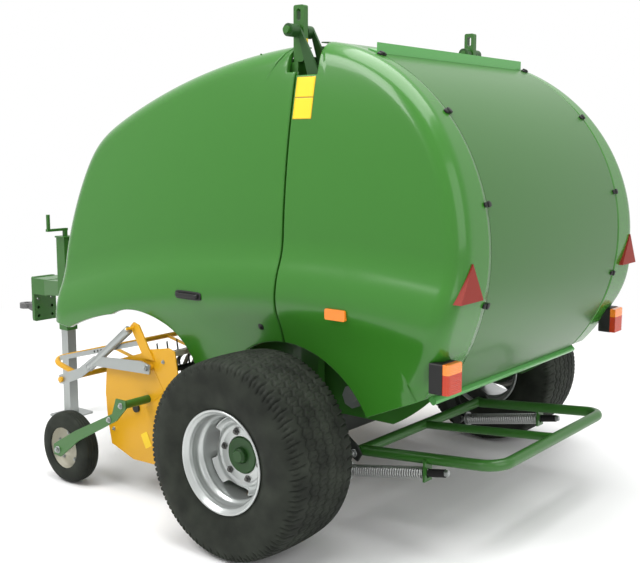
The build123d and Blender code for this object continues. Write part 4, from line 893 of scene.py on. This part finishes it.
points, faces = [], []
for side in (1, -1):
    for y, z in ((0.363, 2.126), (0.662, 1.853), (0.864, 1.502), (0.875, 1.098)):
        out = np.array([0.0, y, z - chamber_z])
        out /= np.linalg.norm(out)
        along = np.cross(out, [1.0, 0.0, 0.0])
        on_sheet = np.array([side * shell_inner_x, axle_y, chamber_z]) + shell_radius * out
        for lift, size, soft in (
            (0.004, (0.052, 0.020, 0.012), 0.4), (0.010, (0.016, 0.026, 0.010), 0.5),
        ):
            block(points, faces, on_sheet + lift * out, (1, 0, 0), along, out, size, soft)
put_joined("seam_latches", points, faces, black_plastic, "tailgate")


def skin_frame(y, z):
    """Place and unit axes (rear, up, out) on the flank at (y, z), from small steps along both."""
    step_size = 0.004
    here = np.array([float(flank_x(y, z)), y, z])
    ahead = np.array([float(flank_x(y + step_size, z)), y + step_size, z]) - here
    above = np.array([float(flank_x(y, z + step_size)), y, z + step_size]) - here
    out = np.cross(ahead, above)
    out /= np.linalg.norm(out)
    out = out if out[0] > 0 else -out
    return here, ahead / np.linalg.norm(ahead), above / np.linalg.norm(above), out


plate_yellow = material("plate_yellow", (0.80, 0.55, 0.02), 0.45, specular=0.3)
plate_edge = material("plate_edge", (0.30, 0.19, 0.02), 0.5)
foil = 0.0006
# Each fitting: lift off the skin, place along it, size, and how round its corners are
handle_parts = (
    (0.001, 0.0, (0.170, 0.040, 0.010), 0.35),
    (0.016, 0.0, (0.140, 0.020, 0.010), 0.4),
    (0.008, -0.062, (0.018, 0.022, 0.022), 0.5),
    (0.008, 0.062, (0.018, 0.022, 0.022), 0.5),
)
lock_parts = (
    (0.001, 0.0, (0.030, 0.030, 0.008), 0.8),
    (0.005, 0.0, (0.014, 0.014, 0.008), 0.8),
)
for side, word in sides:
    mirror = np.array([side, 1.0, 1.0])
    points, faces = [], []
    for y, z, fittings in ((-0.530, 1.040, handle_parts), (-0.115, 0.934, lock_parts)):
        here, ahead, above, out = skin_frame(y, z)
        here = (here + np.array([0.0, axle_y, 0.0])) * mirror
        ahead, above, out = ahead * mirror, above * mirror, out * mirror
        for lift, along, size, soft in fittings:
            block(points, faces, here + along * ahead + lift * out, ahead, above, out, size, soft)
    put_joined(
        f"cover_handle_{word}", points, faces, black_plastic, f"cover_{word}"
    )
    rows, columns = 24, 10
    for tag, y0, y1, z0, z1, lift, paint in (
        ("border", 0.014, 0.118, 1.842, 2.022, 0.0008, plate_edge),
        ("upper", 0.016, 0.116, 1.936, 2.020, 0.0014, plate_yellow),
        ("lower", 0.016, 0.116, 1.844, 1.931, 0.0014, plate_yellow),
    ):
        z = np.linspace(z0, z1, rows)[:, None] * np.ones((1, columns))
        y = np.linspace(y0, y1, columns)[None, :] * np.ones((rows, 1))
        x = flank_x(y, z)
        points = np.stack([side * (x + lift), y + axle_y, z], -1).reshape(-1, 3)
        face_rows = grid_faces(rows, columns, flip=side < 0)
        plate = put(f"warning_{tag}_{word}", points, face_rows, paint, "tailgate")
        backing = plate.modifiers.new("wall", "SOLIDIFY")
        backing.thickness = foil
        backing.offset = -1.0


# Folds and plates of the pick-up and the lifting brackets
# Two pressed folds stiffen the pick-up's side plate, seen as thin raised lines in its paint.
# Blank plates take the places of the stickers on it and on the lifting brackets.
fold_x, sticker_x, label_x = 0.9412, 0.9414, 0.725
fold_corners = np.array([(-0.836, 0.749), (-0.703, 0.555), (-0.843, 0.445)])
sticker_lean = math.radians(62)
for side, word in sides:
    points, faces = [], []
    outward = np.array([float(side), 0.0, 0.0])
    for start, end in zip(fold_corners[:-1], fold_corners[1:]):
        start = np.array([side * fold_x, axle_y + start[0], start[1]])
        end = np.array([side * fold_x, axle_y + end[0], end[1]])
        middle, run_dir = (start + end) / 2, (end - start) / np.linalg.norm(end - start)
        block(
            points, faces, middle, run_dir, np.cross(outward, run_dir), outward,
            (np.linalg.norm(end - start), 0.006, 0.003), 0.3,
        )
    put_joined(f"pickup_folds_{word}", points, faces, yellow, "pickup")
    points, faces = [], []
    turned_up = np.array([0.0, math.sin(sticker_lean), math.cos(sticker_lean)])
    block(
        points, faces, (side * sticker_x, axle_y - 0.836, 0.286), np.cross(turned_up, outward),
        turned_up, outward, (0.075, 0.050, 0.0024), 0.12,
    )
    put_joined(f"pickup_sticker_{word}", points, faces, plate_yellow, "pickup")
    points, faces = [], []
    block(
        points, faces, (side * label_x, axle_y + 0.0130, 2.150), (float(side), 0.0, 0.0),
        (0.0, 0.0, 1.0), (0.0, 1.0, 0.0), (0.027, 0.075, 0.0024), 0.12,
    )
    put_joined(f"lift_label_{word}", points, faces, plate_yellow, "frame")


# Tail lamps
# Moulded lens over each tail lamp: an amber turn light above a red stop light, ribbed outside.
# It is pressed into the black housing, which is screwed to the rear shell.
lens_low, lens_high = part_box("lamp_lenses")
lens_inner_x = lens_high.x - 0.100
lens_rows, lens_columns = 49, 13
rib_height, rib_pitch = 0.0012, 0.0075
lens_lift, lens_overlap, lens_span = 0.0006, 0.0004, 0.1008
top_fall, top_run = 0.004, 0.006
side_fall, side_from, side_run = 0.008, 0.88, 0.12
for side, word in sides:
    for tag, share_low, share_high, paint in (
        ("amber", 0.66, 1.0, amber), ("red", 0.0, 0.655, lens_red),
    ):
        z0 = lens_low.z + (lens_high.z - lens_low.z) * share_low
        z1 = lens_low.z + (lens_high.z - lens_low.z) * share_high
        z = np.linspace(z0, z1, lens_rows)
        ribs = rib_height * np.abs(np.sin(np.pi * (z - lens_low.z) / rib_pitch))
        edge = 0.0
        if tag == "amber":
            edge = top_fall * np.maximum(0.0, 1 - (z1 - z) / top_run) ** 2
        rear = lens_high.y + lens_lift + ribs - edge
        front = np.full(lens_rows, lens_low.y)
        span = np.linspace(0.0, 1.0, lens_columns)
        outer_share = np.clip((span - side_from) / side_run, 0, 1)
        soft = side_fall * (1 - np.sqrt(np.clip(1 - outer_share**2, 0, 1)))
        x = lens_inner_x - lens_overlap + lens_span * span
        grid = np.stack(
            [
                side * np.broadcast_to(x[None, :], (lens_rows, lens_columns)),
                rear[:, None] - soft[None, :],
                np.broadcast_to(z[:, None], (lens_rows, lens_columns)),
            ],
            -1,
        )
        flat = grid.copy()
        flat[..., 1] = front[:, None]
        ring = np.concatenate([grid, flat[:, ::-1]], 1)
        around = 2 * lens_columns
        foot = ring[:1].mean(1, keepdims=True).repeat(around, 1)
        head = ring[-1:].mean(1, keepdims=True).repeat(around, 1)
        closed = np.concatenate([foot, ring, head])
        lens = put(
            f"lens_{tag}_{word}", closed.reshape(-1, 3),
            grid_faces(lens_rows + 2, around, closed=True), paint,
            "tailgate", smooth=False,
        )
        weld(lens, 1e-6)
        if side > 0 and tag == "red":
            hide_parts("lamp_lenses")


# Struts of the crop guard
# A zinc-plated telescopic tube and a drilled bar carry the guard from the pick-up's bracket.
# Both are pinned at their ends; here both stand fixed on no body, where on the machine each
# stretches between the pins as the guard swings.
def tube(start, end, radius, corners=20, rows=14, cap=0.0015):
    """Closed cylinder p = start + s d + r(s) (cos a u + sin a v), chamfered at both ends."""
    start, end = np.asarray(start, float), np.asarray(end, float)
    length = np.linalg.norm(end - start)
    d = (end - start) / length
    u = np.cross(d, [1.0, 0.0, 0.0] if abs(d[0]) < 0.9 else [0.0, 1.0, 0.0])
    u /= np.linalg.norm(u)
    v = np.cross(d, u)
    s = np.concatenate([[0.0, 0.0], np.linspace(cap, length - cap, rows), [length, length]])
    r = np.concatenate([[0.0, radius - cap], np.full(rows, radius), [radius - cap, 0.0]])
    a = np.linspace(0.0, 2 * np.pi, corners, endpoint=False)
    points = (
        start
        + s[:, None, None] * d
        + (r[:, None] * np.cos(a)[None, :])[..., None] * u
        + (r[:, None] * np.sin(a)[None, :])[..., None] * v
    ).reshape(-1, 3)
    return points, grid_faces(len(s), corners, closed=True, flip=True)


strut_x, strut_rod_radius, strut_sleeve_radius = 0.963, 0.007, 0.0215
sleeve_foot, sleeve_short = 0.045, 0.006
bar_x, bar_half_thick, bar_half_high = 0.945, 0.0025, 0.012
hole_count, hole_radius, hole_corners = 6, 0.0062, 12
hole_from, hole_pitch, hole_face = 0.30, 0.028, 0.0029
for side, word in sides:
    low_end = np.array([side * strut_x, axle_y - 1.271, 0.572])
    high_end = np.array([side * strut_x, axle_y - 0.915, 0.838])
    points, faces = tube(low_end, high_end, strut_rod_radius)
    run_dir = (high_end - low_end) / np.linalg.norm(high_end - low_end)
    sleeve, sleeve_faces = tube(
        low_end + sleeve_foot * run_dir, high_end - sleeve_short * run_dir, strut_sleeve_radius
    )
    points = np.concatenate([points, sleeve])
    faces = np.concatenate([faces, sleeve_faces + len(points) - len(sleeve)])
    strut = put(f"guard_strut_{word}", points, faces, zinc, None)
    weld(strut, 1e-6)
    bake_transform(strut)
    front = np.array([side * bar_x, axle_y - 1.500, 0.610])
    back_end = np.array([side * bar_x, axle_y - 0.841, 0.779])
    run_dir = (back_end - front) / np.linalg.norm(back_end - front)
    lift = np.array([0.0, -run_dir[2], run_dir[1]])
    s = np.linspace(0.0, np.linalg.norm(back_end - front), 16)
    loop = np.array([(1, 1), (-1, 1), (-1, -1), (1, -1)]) * (bar_half_thick, bar_half_high)
    rows = np.concatenate(
        [
            (front + s[0] * run_dir)[None, None, :] * np.ones((1, 4, 1)),
            (front + s[:, None] * run_dir)[:, None, :]
            + loop[None, :, :1] * np.array([1.0, 0.0, 0.0])
            + loop[None, :, 1:] * lift,
            (front + s[-1] * run_dir)[None, None, :] * np.ones((1, 4, 1)),
        ]
    )
    bar = put(
        f"guard_bar_{word}", rows.reshape(-1, 3), grid_faces(len(s) + 2, 4, closed=True), zinc,
        None, smooth=False,
    )
    weld(bar, 1e-6)
    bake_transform(bar)
    # Dark discs on both faces of the bar where its holes are: painted shade for the holes.
    points, faces = [], []
    for k in range(hole_count):
        spot = front + (hole_from + hole_pitch * k) * run_dir
        for face in (1, -1):
            base = held(points)
            a = np.linspace(0.0, 2 * np.pi, hole_corners, endpoint=False)
            rim = (
                spot + np.array([side * face * hole_face, 0.0, 0.0])
                + hole_radius * (np.cos(a)[:, None] * run_dir + np.sin(a)[:, None] * lift)
            )
            points.append(
                np.concatenate([np.repeat(rim.mean(0)[None, :], hole_corners, 0), rim])
            )
            faces.append(
                grid_faces(2, hole_corners, closed=True, start=base, flip=side * face < 0)
            )
    hole_shade = put_joined(
        f"guard_bar_hole_shade_{word}", points, faces, dark_steel, None
    )
    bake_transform(hole_shade)


# Bolts and pins
# Zinc-plated hexagon bolts at the gauge arms, the pick-up, the guard and the ramp's hinge.
# Each is a head or nut on its washer, standing on the face that it clamps.
for body, places in (
    (
        "pickup",
        (
            (1.1145, -1.318, 0.185, 0.024, 0.014), (1.1145, -0.905, 0.416, 0.019, 0.010),
            (1.1145, -0.815, 0.500, 0.019, 0.010), (0.9415, -0.700, 0.700, 0.013, 0.008),
            (0.9415, -1.080, 0.300, 0.013, 0.008), (0.9415, -0.720, 0.230, 0.013, 0.008),
        ),
    ),
    ("guard", ((0.9795, -0.780, 0.665, 0.024, 0.014),)),
    ("frame", ((0.5975, 0.185, 0.339, 0.024, 0.014),)),
):
    points, faces = [], []
    for x, y, z, flats, height in places:
        for side in (1, -1):
            ring_bolt(points, faces, (side * x, axle_y + y, z), side, flats, height, 0.004)
    put_joined(f"bolts_{body}", points, faces, zinc, body, False)


# Hinge arms of the side covers
# Flat steel arms under each cover's skin, rounded about the hinge rod; painted with the cover.
# Each is a plate whose outer edge follows the skin.
hinge_x, hinge_z, eye_radius, arm_half_thick = 0.600, 2.095, 0.014, 0.004
arm_low, arm_high, arm_reach, edge_count = 2.060, 2.140, 0.710, 9
for side, word in sides:
    points, faces = [], []
    for y in (-0.180, -0.262):
        z_run = np.linspace(arm_low, arm_high, edge_count)
        outer_x = np.minimum(flank_x(np.full(edge_count, y), z_run) - skin_wall, arm_reach)
        outline = [
            (hinge_x, 2.081), *zip(outer_x, z_run), (0.616, 2.108), (hinge_x, 2.109),
        ]
        for a in np.linspace(np.pi / 2, 3 * np.pi / 2, 9)[1:-1]:
            outline.append((hinge_x + eye_radius * np.cos(a), hinge_z + eye_radius * np.sin(a)))
        outline = np.array(outline)
        middle = outline.mean(0)
        base = held(points)
        rows = []
        for face, share in ((-1, 0.0), (-1, 1.0), (1, 1.0), (1, 0.0)):
            ring = middle + (outline - middle) * share
            rows.append(
                np.stack(
                    [
                        side * ring[:, 0],
                        np.full(len(ring), axle_y + y + face * arm_half_thick),
                        ring[:, 1],
                    ],
                    -1,
                )
            )
        points.append(np.concatenate(rows))
        faces.append(grid_faces(4, len(outline), closed=True, start=base))
    put_joined(
        f"cover_arms_{word}", points, faces, green_paint, f"cover_{word}", False
    )
